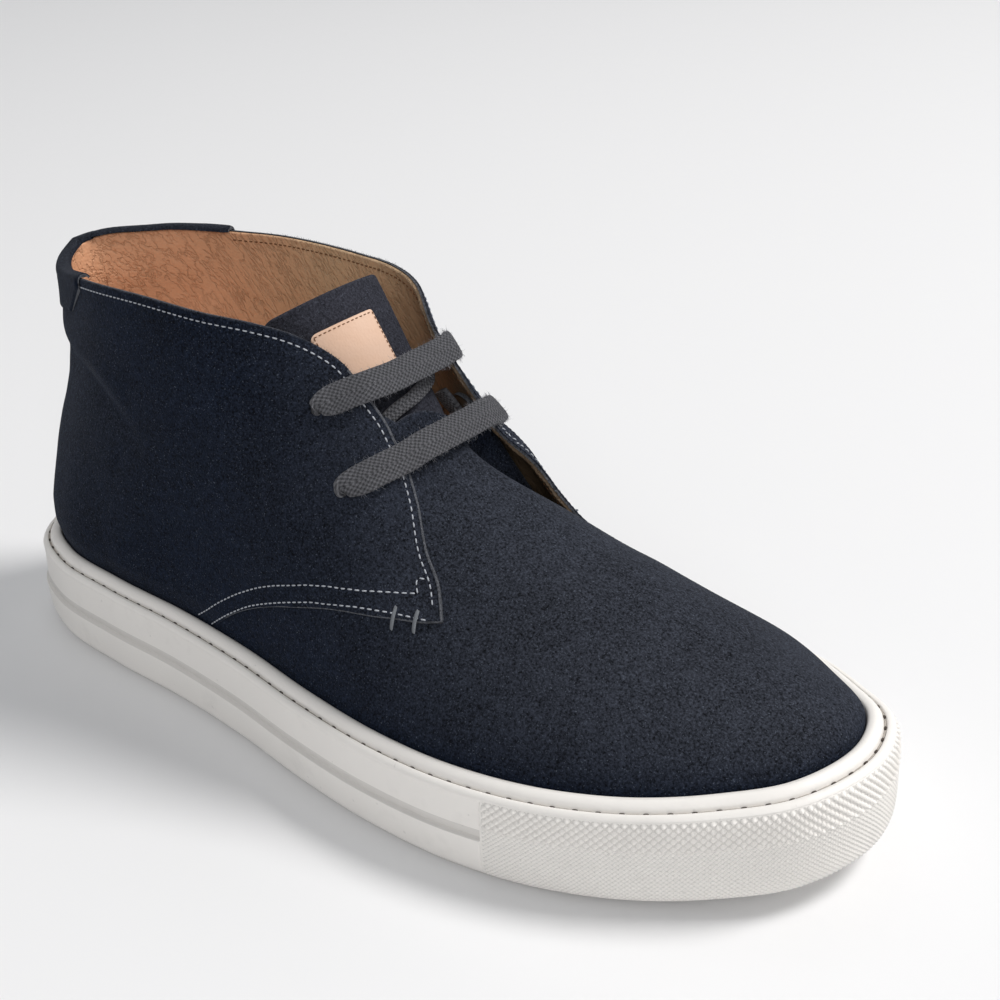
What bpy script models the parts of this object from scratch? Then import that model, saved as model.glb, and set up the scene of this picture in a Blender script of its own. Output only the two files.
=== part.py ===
"""Mid-top suede sneaker for the right foot, on a rubber cupsole.

Toe along +X, the inner side of the foot along +Y, up along +Z, standing on Z = 0.
The tables below are in millimetres, with stations measured from the heel. All pieces
are read from one last: a surface whose sections rise from the sole's outline to the
collar or to the ridge of the instep.
"""
import math

import bmesh
import bpy
import numpy as np

MM = 0.001
LATERAL, MEDIAL = -1, 1

# --- Driving sizes, in millimetres --------------------------------------------------
LENGTH = 300.0
ORIGIN = (149.2, -1.8)          # middle of the sole's outline
GAP = 0.3                       # between pieces that meet
SUEDE_INSET = 7.7               # upper's foot, inside the sole's widest outline
VAMP_WALL = 1.6
QUARTER_STEP = 1.2              # the quarter stands this proud of the vamp
QUARTER_DEPTH = 1.0             # and reaches this far below the vamp's face
EYELET_RADIUS = 2.4
LACE_WIDTH, LACE_THICKNESS = 8.4, 1.9
INSOLE_THICKNESS = 5.0

# Widest outline of the sole: half widths at stations from the heel
OUTLINE_TIPS = ((-0.8, -1.3), (299.2, 8.0))
OUTLINE = (
    # station, lateral, medial
    (3.0, -20.5, 18.0),
    (12.0, -32.5, 29.5),
    (30.0, -41.4, 37.6),
    (60.0, -45.4, 39.0),
    (92.0, -46.8, 36.2),
    (122.0, -50.0, 36.2),
    (152.0, -55.0, 41.2),
    (182.0, -58.0, 48.6),
    (212.0, -57.2, 54.4),
    (237.0, -52.2, 53.2),
    (258.0, -43.8, 50.0),
    (276.0, -32.6, 41.0),
    (291.0, -19.5, 30.0),
)
TOE_TAPER = (250.0, 300.0, 0.33)    # insets grow toward the toe: from, to, by

# Heights along the shoe: top of the rim, floor of the cup, lift of the tread
HEIGHTS = (
    # station, rim, floor, lift
    (0.0, 29.2, 13.0, 0.0),
    (60.0, 29.0, 12.5, 0.0),
    (130.0, 28.2, 11.0, 0.0),
    (205.0, 27.5, 9.5, 0.0),
    (240.0, 29.0, 10.2, 0.8),
    (270.0, 31.6, 12.4, 2.8),
    (300.0, 36.4, 15.5, 7.0),
)

# Sections of the last: station of the foot on the rim, head on each side, how far the foot and
# the head of the section run on before it turns, outward lean of its foot, rise of its head
SECTIONS = (
    # foot_x, lateral head, medial head, foot_run, head_run, lean_deg, rise_deg
    (6.5, (5.8, 3.0, 122.0), (5.8, 3.0, 122.0), 0.30, 0.30, 6.5, 99.0),
    (11.0, (13.0, -8.5, 122.0), (12.0, 15.0, 123.0), 0.30, 0.30, 5.0, 99.0),
    (26.0, (28.0, -17.5, 123.0), (28.0, 28.0, 126.0), 0.30, 0.30, 7.0, 96.0),
    (58.0, (55.0, -28.0, 128.0), (55.0, 36.0, 127.0), 0.32, 0.32, 6.0, 92.0),
    (90.0, (86.0, -32.5, 133.0), (86.0, 35.0, 129.0), 0.34, 0.34, 2.0, 90.0),
    (120.0, (113.0, -30.5, 136.0), (113.0, 31.0, 131.0), 0.36, 0.36, 0.0, 86.0),
    (143.0, (132.0, -19.0, 138.0), (132.0, 20.0, 135.0), 0.36, 0.33, -2.0, 74.0),
    (160.0, (143.0, 0.5, 134.0), (143.0, 0.5, 134.0), 0.36, 0.28, -4.0, 50.0),
    (174.0, (154.0, 1.5, 111.0), (154.0, 1.5, 111.0), 0.36, 0.26, -5.0, 28.0),
    (188.0, (168.0, 3.0, 89.0), (168.0, 3.0, 89.0), 0.38, 0.28, -5.0, 12.0),
    (206.0, (190.5, 4.5, 74.8), (190.5, 4.5, 74.8), 0.42, 0.34, -4.0, 6.5),
    (230.0, (220.0, 6.0, 63.4), (220.0, 6.0, 63.4), 0.48, 0.40, -3.0, 4.5),
    (255.0, (246.0, 7.0, 54.4), (246.0, 7.0, 54.4), 0.52, 0.44, -3.0, 4.0),
    (277.0, (264.0, 7.0, 48.8), (264.0, 7.0, 48.8), 0.54, 0.46, -4.0, 7.0),
    (292.9, (272.0, 6.5, 46.3), (272.0, 6.5, 46.3), 0.56, 0.48, -6.0, 17.0),
)
MEDIAL_FULLNESS = 0.8           # the inner side of the forefoot is flatter
FIRST_LEAN_SECTION = 9
# The quarters are drawn in above the heel: height, inward
PINCH = ((42.0, 0.2), (54.0, 1.4), (63.0, 1.9), (70.0, 2.5), (77.0, 3.4), (84.0, 3.8), (90.0, 2.9),
         (97.0, 1.3), (105.0, 1.1), (122.0, 1.1))
PINCH_FULL, PINCH_END = 0.14, 0.30      # u up to which it is whole, and where it ends

# Edges of the quarters in side view: station and height
TOPLINE = {
    LATERAL: ((22.0, 115.0), (48.0, 120.8), (72.0, 124.1), (98.0, 125.2), (114.0, 124.7),
              (125.0, 123.6), (135.0, 120.9), (144.0, 114.7)),
    MEDIAL: ((12.0, 118.6), (22.0, 118.8), (48.0, 119.4), (72.0, 121.0), (98.0, 122.2), (114.0, 123.0),
             (125.0, 122.9), (135.0, 120.6), (144.0, 114.7)),
}
FACING = ((144.0, 114.7), (154.0, 104.8), (163.0, 92.7), (172.0, 79.6), (180.0, 69.4), (187.0, 63.1),
          (192.3, 56.6))
LOWER_EDGE = ((106.0, 28.6), (119.5, 38.7), (132.4, 45.5), (150.0, 51.7), (164.0, 54.9), (178.0, 55.7),
              (187.0, 55.8), (192.3, 56.6))
HEEL_TOP = 117.0
# How far each facing stands off, by height
FLARE = ((54.0, 0.0), (60.0, 0.4), (65.0, 2.0), (70.0, 3.8), (76.0, 4.3), (81.0, 3.4), (86.0, 1.9),
         (94.0, 0.9), (104.0, 1.0), (112.0, 1.7), (122.0, 1.7))
FLARE_SHARE = {LATERAL: 0.0, MEDIAL: 1.0}
FLARE_REACH = 15.0
VAMP_DIP = (0.625, 0.68, 0.042, 0.22, 7.0)      # the vamp sinks under the inner facing: u, t, reaches, depth
VAMP_TOP = ((0.29, 0.30), (0.45, 0.56), (0.575, 0.765), (0.6205, 1.0))    # its top edge: u and t
EYELETS = ((144.0, 103.0), (156.5, 84.0))

# Tongue: its middle line, the radius that it wraps to, and its reach to each side
TONGUE = (
    # x, y, z, radius, lateral reach, medial reach
    (174.5, 0.5, 73.0, 30.0, 21.0, 7.5),
    (165.0, 0.5, 81.6, 28.0, 21.0, 8.0),
    (156.5, 0.5, 93.5, 26.0, 21.5, 11.4),
    (149.0, 0.5, 105.5, 25.5, 22.5, 10.9),
    (141.5, 0.0, 118.0, 27.0, 23.5, 11.5),
    (134.5, 0.0, 129.0, 29.0, 25.0, 11.5),
)
TONGUE_THICKNESS = 2.6
PATCH = (0.57, 0.86, -0.66, 0.07)       # on the tongue: from, to, outer edge, inner edge
PATCH_THICKNESS = 1.2

# Heel tab: it drops outside, is narrower at its foot, and folds over the topline to the inside.
# Its section runs from outside to inside, each row an outer and an inner place as distance off and height
TAB_COLUMNS = 8
TAB_END, TAB_FOOT_END = 0.195, 0.168    # u of its edge at the topline and at its foot
TAB_DROP, TAB_STRAIGHT = 10.5, 2.4
TAB_LAST_COLUMN = 0.012
TAB_SECTION = (
    # outer away, outer up, inner away, inner up
    (2.3, -10.5, 1.5, -10.5),
    (2.4, -6.2, 1.5, -6.2),
    (2.5, -2.4, 1.5, -2.4),
    (2.4, 0.1, 1.5, -0.2),
    (1.6, 1.2, 1.3, 0.3),
    (0.1, 1.5, 0.1, 0.3),
    (-1.4, 1.2, -1.1, 0.3),
    (-2.4, 0.1, -1.4, -0.2),
    (-2.5, -2.6, -1.5, -2.6),
)

# Lace, in the order of its run: each station's centre, the way its flat face looks, and how
# flat it lies; over a quarter a station is given in side view, with its distance off the suede
LACE_START = (
    ((149.5, 17.0, 94.0), (0.2, 0.9, 0.3), 0.4),
    ((153.5, 19.0, 88.0), (0.2, 0.9, 0.3), 0.3),
)
LOWER_BAR = (
    (MEDIAL, 160.8, 86.6, 1.7),
    (MEDIAL, 163.6, 88.5, 1.9),
    (MEDIAL, 165.4, 89.8, 2.1),
    ((169.6, 14.0, 93.4), (0.72, 0.25, 0.65), 1.0),
    ((170.2, 5.0, 93.8), (0.75, 0.0, 0.65), 1.0),
    ((169.8, -5.0, 93.5), (0.75, -0.15, 0.66), 1.0),
    ((168.9, -13.0, 92.8), (0.7, -0.35, 0.64), 1.0),
    (LATERAL, 165.2, 89.8, 2.0),
    (LATERAL, 163.0, 88.2, 1.7),
    (LATERAL, 160.4, 86.4, 1.7),
)
DIAGONAL = (
    ((155.0, -22.5, 86.5), (0.5, -0.7, 0.4), 0.5),
    ((155.6, -17.5, 91.4), (0.7, -0.5, 0.5), 0.8),
    ((155.0, -11.0, 96.6), (0.8, -0.25, 0.55), 1.0),
    ((155.4, 0.5, 100.0), (0.84, 0.05, 0.54), 1.0),
    ((152.8, 8.6, 101.2), (0.75, 0.4, 0.5), 0.9),
    ((147.6, 14.8, 101.8), (0.6, 0.75, 0.25), 0.4),
)
UPPER_BAR = (
    (MEDIAL, 147.6, 104.6, 1.7),
    (MEDIAL, 150.4, 106.0, 1.8),
    (MEDIAL, 152.8, 107.1, 2.0),
    ((156.6, 10.0, 109.4), (0.8, 0.15, 0.55), 1.0),
    ((156.6, 0.0, 109.2), (0.82, 0.0, 0.56), 1.0),
    ((156.2, -9.0, 108.8), (0.8, -0.2, 0.57), 1.0),
    (LATERAL, 152.8, 107.0, 1.9),
    (LATERAL, 150.2, 105.8, 1.7),
    (LATERAL, 147.4, 104.6, 1.7),
)
LACE_FINISH = (
    ((142.4, -22.6, 99.6), (0.5, -0.75, 0.4), 0.6),
)
LACE_NECK = 2.6
LACE_STATIONS = 62
LACE_SECTION = ((1.0, 0.4), (0.8, 1.0), (-0.8, 1.0), (-1.0, 0.4),
                (-1.0, -0.4), (-0.8, -1.0), (0.8, -1.0), (1.0, -0.4))

# Side of the sole: inset from the widest outline plain and on the toe band, then height as a
# share of the way from tread to rim plus a length
WALL = (
    # inset, band inset, share, plus
    (6.0, 6.0, 0.0, 0.0),
    (2.9, 2.9, 0.0, 0.5),
    (1.2, 1.1, 0.0, 2.2),
    (0.5, 0.3, 0.0, 5.0),
    (0.0, 0.0, 0.455, 0.0),
    (0.8, 0.0, 0.48, 0.0),
    (1.1, 0.6, 1.0, -5.0),
    (1.5, 1.3, 1.0, -2.4),
    (2.8, 2.8, 1.0, -1.5),
    (3.2, 3.2, 1.0, -2.1),
    (3.7, 3.7, 1.0, -0.9),
    (4.5, 4.5, 1.0, 0.4),
    (5.7, 5.7, 1.0, 0.8),
    (6.8, 6.8, 1.0, 0.2),
    (7.4, 7.4, 1.0, -0.9),
)
BAND_START = 219.5
WAIST = (108.0, 152.0, 1.2)     # hollow of the tread under the arch: from, to, depth


# How finely the forms are divided
REAR_COUNT, LOWER_COUNT, QUARTER_ROWS = 14, 19, 11      # quarter: columns behind and over its edge, rows
TOP_SPLIT = 117.0               # station on the topline where the two sets of columns meet
RIM_BLEND = 0.07                # share of the height over which the quarter leaves the cup
QUARTER_FOOT = -0.96            # the quarter's skirt stops just above the vamp's
VAMP_COLUMNS, VAMP_ROWS = 27, 9
SOLE_COLUMNS, INSOLE_COLUMNS = 42, 26
ACROSS = 4                      # strips across the tread and the cup's floor
TURN_LENGTH = 24.0              # how much a turn of one radian counts when columns are spread
EYELET_SIDES, PUNCH_REACH = 14, 5.0

for old in list(bpy.data.objects):
    bpy.data.objects.remove(old)


# --- Curves -------------------------------------------------------------------------
def smooth(keys, rows, at):
    """Smooth curve through rows of values at rising keys."""
    keys, rows, at = (np.asarray(a, float) for a in (keys, rows, at))
    column = (-1,) + (1,) * (rows.ndim - 1)
    gaps = np.diff(keys).reshape(column)
    slope = np.diff(rows, axis=0) / gaps
    turn = np.empty_like(rows)
    turn[1:-1] = (slope[:-1] * gaps[1:] + slope[1:] * gaps[:-1]) / (gaps[1:] + gaps[:-1])
    turn[0] = 1.5 * slope[0] - 0.5 * turn[1]
    turn[-1] = 1.5 * slope[-1] - 0.5 * turn[-2]
    i = np.clip(np.searchsorted(keys, at, side="right") - 1, 0, len(keys) - 2)
    step = np.diff(keys)[i].reshape(at.shape + (1,) * (rows.ndim - 1))
    f = ((at - keys[i]).reshape(step.shape)) / step
    return ((2 * f**3 - 3 * f**2 + 1) * rows[i] + (f**3 - 2 * f**2 + f) * step * turn[i]
            + (3 * f**2 - 2 * f**3) * rows[i + 1] + (f**3 - f**2) * step * turn[i + 1])


def spaced(rows, count):
    """Points evenly spaced along a smooth line through the rows."""
    rows = np.asarray(rows, float)
    keys = np.concatenate([[0.0], np.cumsum(np.linalg.norm(np.diff(rows, axis=0), axis=1))])
    return smooth(keys, rows, np.linspace(0.0, keys[-1], count))


def height(name, x):
    """Rim, floor or lift at a station."""
    column = ("rim", "floor", "lift").index(name) + 1
    keys = [row[0] for row in HEIGHTS]
    return np.maximum(smooth(keys, [row[column] for row in HEIGHTS], np.clip(x, 0.0, 300.0)), 0.0)


def outline_loop():
    """The outline's points from the heel by the lateral side, wrapped past both ends."""
    lateral = [(x, a) for x, a, _ in OUTLINE]
    medial = [(x, b) for x, _, b in reversed(OUTLINE)]
    loop = [OUTLINE_TIPS[0], *lateral, OUTLINE_TIPS[1], *medial]
    points = np.array(loop[-2:] + loop + loop[:3])
    keys = np.concatenate([[0.0], np.cumsum(np.linalg.norm(np.diff(points, axis=0), axis=1))])
    return keys - keys[2], points, keys[2 + len(loop)] - keys[2]


LOOP_KEYS, LOOP_POINTS, PERIMETER = outline_loop()
TOE_AT = LOOP_KEYS[2 + len(OUTLINE) + 1]


def outline(along, inset=0.0):
    """Point of the outline at a distance round it, moved inward by the inset."""
    point = smooth(LOOP_KEYS, LOOP_POINTS, along)
    ahead = smooth(LOOP_KEYS, LOOP_POINTS, along + 0.5)
    behind = smooth(LOOP_KEYS, LOOP_POINTS, along - 0.5)
    way = (ahead - behind) / np.linalg.norm(ahead - behind, axis=-1, keepdims=True)
    inward = np.stack([-way[..., 1], way[..., 0]], -1)
    start, end, growth = TOE_TAPER
    into = np.clip((point[..., 0] - start) / (end - start), 0.0, 1.0)
    inset = inset * (1.0 + growth * into**2 * (3.0 - 2.0 * into))
    return point + inward * inset[..., None]


# --- The last -----------------------------------------------------------------------
def side_sections(side):
    """Each section's distance round the outline, its head and its shape, for one side."""
    if side == LATERAL:
        along = np.linspace(0.0, TOE_AT, 500)
    else:
        along = np.linspace(PERIMETER, TOE_AT, 500)
    stations = np.maximum.accumulate(outline(along, SUEDE_INSET)[:, 0])
    rows = []
    for number, (foot_x, lateral, medial, foot, head, lean, rise) in enumerate(SECTIONS):
        place = np.interp(foot_x, stations, along)
        if number == 0:
            place = along[0]
        if number == len(SECTIONS) - 1:
            place = along[-1]
        if side == MEDIAL and number >= FIRST_LEAN_SECTION:
            foot *= MEDIAL_FULLNESS
            head *= MEDIAL_FULLNESS
        top = lateral if side == LATERAL else medial
        rows.append((place, *top, foot, head, math.radians(lean), math.radians(rise)))
    return np.array(rows)


SIDE_SECTIONS = {side: side_sections(side) for side in (LATERAL, MEDIAL)}
SECTION_KEYS = np.linspace(0.0, 1.0, len(SECTIONS))


def place_round(side, u):
    """Distance round the outline at a column."""
    return smooth(SECTION_KEYS, SIDE_SECTIONS[side][:, 0], u)


def spread(start, count):
    """Columns from a start to the toe, closer together where the outline turns."""
    u = np.linspace(start, 1.0, 600)
    steps = np.diff(outline(place_round(LATERAL, u)), axis=0)
    turns = np.abs(np.diff(np.unwrap(np.arctan2(steps[:, 1], steps[:, 0]))))
    reach = np.cumsum(np.linalg.norm(steps, axis=1))
    reach[1:] += TURN_LENGTH * np.cumsum(turns)
    reach = np.concatenate([[0.0], reach])
    return np.interp(np.linspace(0.0, reach[-1], count), reach, u)


def last(side, u, t):
    """Point of the last: u from heel to toe along one side, t from the rim to the head."""
    u, t = np.broadcast_arrays(np.asarray(u, float), np.asarray(t, float))
    value = smooth(SECTION_KEYS, SIDE_SECTIONS[side], np.clip(u, 0.0, 1.0))
    foot = outline(value[..., 0], SUEDE_INSET)
    inward = outline(value[..., 0], SUEDE_INSET + 1.0) - foot
    base = np.concatenate([foot, height("rim", foot[..., 0])[..., None]], -1)
    top = value[..., 1:4]
    foot_run, head_run, lean, rise = (value[..., k] for k in (4, 5, 6, 7))
    tall = top[..., 2] - base[..., 2]
    across = top[..., :2] - foot
    wide = np.linalg.norm(across, axis=-1)
    first = base.copy()
    first[..., :2] -= inward * (np.sin(lean) * foot_run * tall)[..., None]
    first[..., 2] += np.cos(lean) * foot_run * tall
    size = head_run * (np.cos(rise) * wide + np.sin(rise) * tall)
    second = top.copy()
    second[..., :2] -= across / wide[..., None] * (np.cos(rise) * size)[..., None]
    second[..., 2] -= np.sin(rise) * size
    t = t[..., None]
    m = 1.0 - t
    return m**3 * base + 3 * m**2 * t * first + 3 * m * t**2 * second + t**3 * top


def outward(side, u, t):
    """Unit normal of the last, away from the foot."""
    step = 1e-3
    along = last(side, u + step, t) - last(side, u - step, t)
    upward = last(side, u, np.minimum(t + step, 1.0)) - last(side, u, np.minimum(t + step, 1.0) - 2 * step)
    normal = np.cross(along, upward) * -side
    return normal / np.linalg.norm(normal, axis=-1, keepdims=True)


def skin(side, u, t, away):
    """Point at a distance off the last; at t = 0 and below it runs straight down the cup."""
    u, t, away = np.broadcast_arrays(*(np.asarray(a, float) for a in (u, t, away)))
    upper_t = np.maximum(t, 0.0)
    point = last(side, u, upper_t) + outward(side, u, upper_t) * away[..., None]
    place = smooth(SECTION_KEYS, SIDE_SECTIONS[side], np.clip(u, 0.0, 1.0))[..., 0]
    foot = outline(place, SUEDE_INSET - away)
    rim = height("rim", foot[..., 0])
    depth = rim - height("floor", foot[..., 0]) - GAP
    upright = np.concatenate([foot, (rim + np.minimum(t, 0.0) * depth)[..., None]], -1)
    return np.where((t <= 0.0)[..., None], upright, point)


def locate(side, points):
    """The last's own u and t of points given in side view."""
    points = np.atleast_2d(np.asarray(points, float))
    grid_u, grid_t = np.meshgrid(np.linspace(0.0, 1.0, 81), np.linspace(0.0, 0.98, 41), indexing="ij")
    grid = last(side, grid_u, grid_t)
    far = (grid[..., 0, None] - points[:, 0])**2 + (grid[..., 2, None] - points[:, 1])**2
    nearest = far.reshape(-1, len(points)).argmin(axis=0)
    u, t = grid_u.ravel()[nearest], grid_t.ravel()[nearest]
    step = 1e-4
    for _ in range(25):
        miss = points - last(side, u, t)[:, (0, 2)]
        by_u = ((last(side, u + step, t) - last(side, u - step, t)) / (2 * step))[:, (0, 2)]
        by_t = ((last(side, u, t + step) - last(side, u, t - step)) / (2 * step))[:, (0, 2)]
        area = by_u[:, 0] * by_t[:, 1] - by_t[:, 0] * by_u[:, 1]
        area = np.where(np.abs(area) < 1e-3, 1e-3, area)
        move_u = (miss[:, 0] * by_t[:, 1] - by_t[:, 0] * miss[:, 1]) / area
        move_t = (by_u[:, 0] * miss[:, 1] - miss[:, 0] * by_u[:, 1]) / area
        u = np.clip(u + np.clip(move_u, -0.02, 0.02), 0.0, 1.0)
        t = np.clip(t + np.clip(move_t, -0.05, 0.05), 0.0, 1.0)
    return u, t


# --- The quarters -------------------------------------------------------------------
def flare(side, u, t):
    """How far the quarter stands off the vamp near its facing."""
    at = last(side, u, np.maximum(t, 0.0))[..., (0, 2)]
    edge = spaced(TOPLINE[side][-2:] + FACING[1:], 60)
    gap = np.linalg.norm(at[..., None, :] - edge, axis=-1)
    near = gap.argmin(axis=-1)
    keys = [row[0] for row in FLARE]
    lift = smooth(keys, [row[1] for row in FLARE], np.clip(edge[near][..., 1], keys[0], keys[-1]))
    return FLARE_SHARE[side] * lift * np.exp(-(gap.min(axis=-1) / FLARE_REACH)**2)


def pinch(side, u, t):
    """How far the quarter is drawn in around the heel."""
    keys = [row[0] for row in PINCH]
    at = np.clip(last(side, u, np.maximum(t, 0.0))[..., 2], keys[0], keys[-1])
    near = np.clip((PINCH_END - u) / (PINCH_END - PINCH_FULL), 0.0, 1.0)
    return smooth(keys, [row[1] for row in PINCH], at) * near**2 * (3.0 - 2.0 * near)


def quarter(side, u, t, layer):
    """Point of the quarter's outer (layer 1) or inner (layer 0) face, or between them."""
    rise = np.clip(np.asarray(t, float) / RIM_BLEND, 0.0, 1.0)
    outer = -0.2 + (QUARTER_STEP + 0.2) * rise
    inner = -1.2 + (1.2 - QUARTER_DEPTH) * rise
    away = inner + (outer - inner) * layer + (flare(side, u, t) - pinch(side, u, t)) * rise
    return skin(side, u, t, away)


def quarter_columns(side):
    """Foot and top of the quarter's columns in the last's own coordinates, heel to corner."""
    lower_u, lower_t = locate(side, spaced(LOWER_EDGE, LOWER_COUNT))
    lower_t[0] = 0.0
    foot_u = np.concatenate([np.linspace(0.0, lower_u[0], REAR_COUNT)[:-1], lower_u])
    foot_t = np.concatenate([np.zeros(REAR_COUNT - 1), lower_t])
    rear = [row for row in TOPLINE[side] if row[0] < TOP_SPLIT]
    rear_u, rear_t = locate(side, rear)
    keys = np.concatenate([[0.0], rear_u])
    heights = np.concatenate([[heel_top_t()], rear_t])
    top_u = np.linspace(0.0, rear_u[-1], REAR_COUNT)
    top_t = smooth(keys, heights, top_u)
    front = [rear[-1]] + [row for row in TOPLINE[side] if row[0] > TOP_SPLIT] + list(FACING[1:])
    front_u, front_t = locate(side, spaced(front, LOWER_COUNT))
    top_u = np.concatenate([top_u, front_u[1:]])
    top_t = np.concatenate([top_t, front_t[1:]])
    return foot_u, foot_t, top_u, top_t


def heel_top_t():
    """Share of the heel's own section that reaches the top edge."""
    share = np.linspace(0.0, 1.0, 400)
    return float(np.interp(HEEL_TOP, last(LATERAL, np.zeros(400), share)[:, 2], share))


# --- Solids -------------------------------------------------------------------------
class Sheet:
    """A curved sheet: named points, each with an outer and an inner place, and its faces."""

    def __init__(self):
        self.index = {}
        self.outer = []
        self.inner = []
        self.faces = []

    def point(self, key, outer, inner):
        if key not in self.index:
            self.index[key] = len(self.outer)
            self.outer.append(outer)
            self.inner.append(inner)

    def face(self, *keys):
        corners = []
        for key in keys:
            if self.index[key] not in corners:
                corners.append(self.index[key])
        if len(corners) > 2:
            self.faces.append(corners)

    def solid(self, name, material, collection=None):
        """A closed object: both faces of the sheet, and a wall along every free edge."""
        count = len(self.outer)
        faces = [list(face) for face in self.faces]
        faces += [[count + corner for corner in reversed(face)] for face in self.faces]
        edges = {}
        for face in self.faces:
            for a, b in zip(face, face[1:] + face[:1]):
                edges[(a, b)] = True
        for a, b in edges:
            if (b, a) not in edges:
                faces.append([b, a, count + a, count + b])
        return new_object(name, self.outer + self.inner, faces, material, collection)


def new_object(name, points, faces, material, collection=None):
    """A mesh object from points in the last's millimetres, with its faces turned outward."""
    mesh = bpy.data.meshes.new(name)
    shift = np.array([ORIGIN[0], ORIGIN[1], 0.0])
    mesh.from_pydata([tuple((np.asarray(p) - shift) * MM) for p in points], [], faces)
    shape = bmesh.new()
    shape.from_mesh(mesh)
    bmesh.ops.recalc_face_normals(shape, faces=shape.faces)
    bmesh.ops.triangulate(shape, faces=[f for f in shape.faces if len(f.verts) > 3])
    shape.to_mesh(mesh)
    shape.free()
    result = bpy.data.objects.new(name, mesh)
    (collection or parts).objects.link(result)
    if material:
        mesh.materials.append(material)
    return result


def new_material(name, colour, roughness, metallic=0.0):
    material = bpy.data.materials.new(name)
    material.use_nodes = True
    shader = material.node_tree.nodes["Principled BSDF"]
    shader.inputs["Base Color"].default_value = (*colour, 1.0)
    shader.inputs["Roughness"].default_value = roughness
    shader.inputs["Metallic"].default_value = metallic
    return material


def boolean(target, cutter, operation):
    step = target.modifiers.new(cutter.name, "BOOLEAN")
    step.object = cutter
    step.operation = operation
    step.solver = "EXACT"
    cutter.hide_render = True
    cutter.display_type = "WIRE"


# --- Upper --------------------------------------------------------------------------
def quarter_sheet():
    sheet = Sheet()
    for side in (LATERAL, MEDIAL):
        foot_u, foot_t, top_u, top_t = quarter_columns(side)
        share = np.linspace(0.0, 1.0, QUARTER_ROWS + 1)
        u = foot_u[:, None] + (top_u - foot_u)[:, None] * share
        t = foot_t[:, None] + (top_t - foot_t)[:, None] * share
        outer = quarter(side, u, t, 1.0)
        inner = quarter(side, u, t, 0.0)
        skirt_u = foot_u[:REAR_COUNT]
        skirt_outer = quarter(side, skirt_u, QUARTER_FOOT, 1.0)
        skirt_inner = quarter(side, skirt_u, QUARTER_FOOT, 0.0)

        def key(column, row, side=side):
            return ("heel" if column == 0 else side, column, row)

        for column in range(len(foot_u)):
            for row in range(QUARTER_ROWS + 1):
                sheet.point(key(column, row), outer[column, row], inner[column, row])
        for column in range(REAR_COUNT):
            sheet.point(key(column, -1), skirt_outer[column], skirt_inner[column])
        for column in range(len(foot_u) - 1):
            first_row = -1 if column < REAR_COUNT - 1 else 0
            for row in range(first_row, QUARTER_ROWS):
                corners = [key(column, row), key(column + 1, row),
                           key(column + 1, row + 1), key(column, row + 1)]
                sheet.face(*(corners if side == LATERAL else corners[::-1]))
    return sheet


def vamp_dip(u, t):
    """How far the vamp sinks under the inner facing."""
    place_u, place_t, reach_u, reach_t, depth = VAMP_DIP
    return depth * np.exp(-((u - place_u) / reach_u)**2 - ((t - place_t) / reach_t)**2)


def vamp_sheet():
    sheet = Sheet()
    u = spread(VAMP_TOP[0][0], VAMP_COLUMNS)
    for place, _ in VAMP_TOP[1:]:
        u[np.abs(u - place).argmin()] = place
    top = np.interp(u, *zip(*VAMP_TOP))
    share = np.linspace(0.0, 1.0, VAMP_ROWS + 1)
    t = np.concatenate([-np.ones((len(u), 1)), top[:, None] * share], axis=1)
    columns = np.broadcast_to(u[:, None], t.shape)
    sunk = {LATERAL: np.zeros(t.shape), MEDIAL: vamp_dip(columns, t)}
    outer = {side: skin(side, columns, t, -sunk[side]) for side in (LATERAL, MEDIAL)}
    inner = {side: skin(side, columns, t, -sunk[side] - VAMP_WALL) for side in (LATERAL, MEDIAL)}
    ridge = (inner[LATERAL][:, -1] + inner[MEDIAL][:, -1]) / 2
    last_column, last_row = len(u) - 1, VAMP_ROWS + 1

    def key(side, column, row):
        on_ridge = row == last_row and top[column] == 1.0
        return ("shared" if on_ridge or column == last_column else side, column, row)

    for side in (LATERAL, MEDIAL):
        for column in range(len(u)):
            for row in range(last_row + 1):
                low = inner[side][column, row]
                if row == last_row and top[column] == 1.0:
                    low = ridge[column]
                sheet.point(key(side, column, row), outer[side][column, row], low)
        for column in range(last_column):
            for row in range(last_row):
                corners = [key(side, column, row), key(side, column + 1, row),
                           key(side, column + 1, row + 1), key(side, column, row + 1)]
                sheet.face(*(corners if side == LATERAL else corners[::-1]))
    return sheet


def on_quarter(side, x, z):
    """Point of the quarter's outer face given in side view, and its outward normal."""
    u, t = locate(side, (x, z))
    step = 2e-3
    point = quarter(side, u, t, 1.0)[0]
    along = quarter(side, u + step, t, 1.0)[0] - quarter(side, u - step, t, 1.0)[0]
    upward = quarter(side, u, t + step, 1.0)[0] - quarter(side, u, t - step, 1.0)[0]
    normal = np.cross(along, upward) * -side
    return point, normal / np.linalg.norm(normal)


def ring(centre, axis, radius, count):
    """Points of a circle about an axis."""
    side_way = np.cross(axis, (0.0, 0.0, 1.0))
    side_way /= np.linalg.norm(side_way)
    other = np.cross(axis, side_way)
    turn = np.linspace(0.0, 2 * math.pi, count, endpoint=False)
    return [centre + radius * (math.cos(a) * side_way + math.sin(a) * other) for a in turn]


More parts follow.
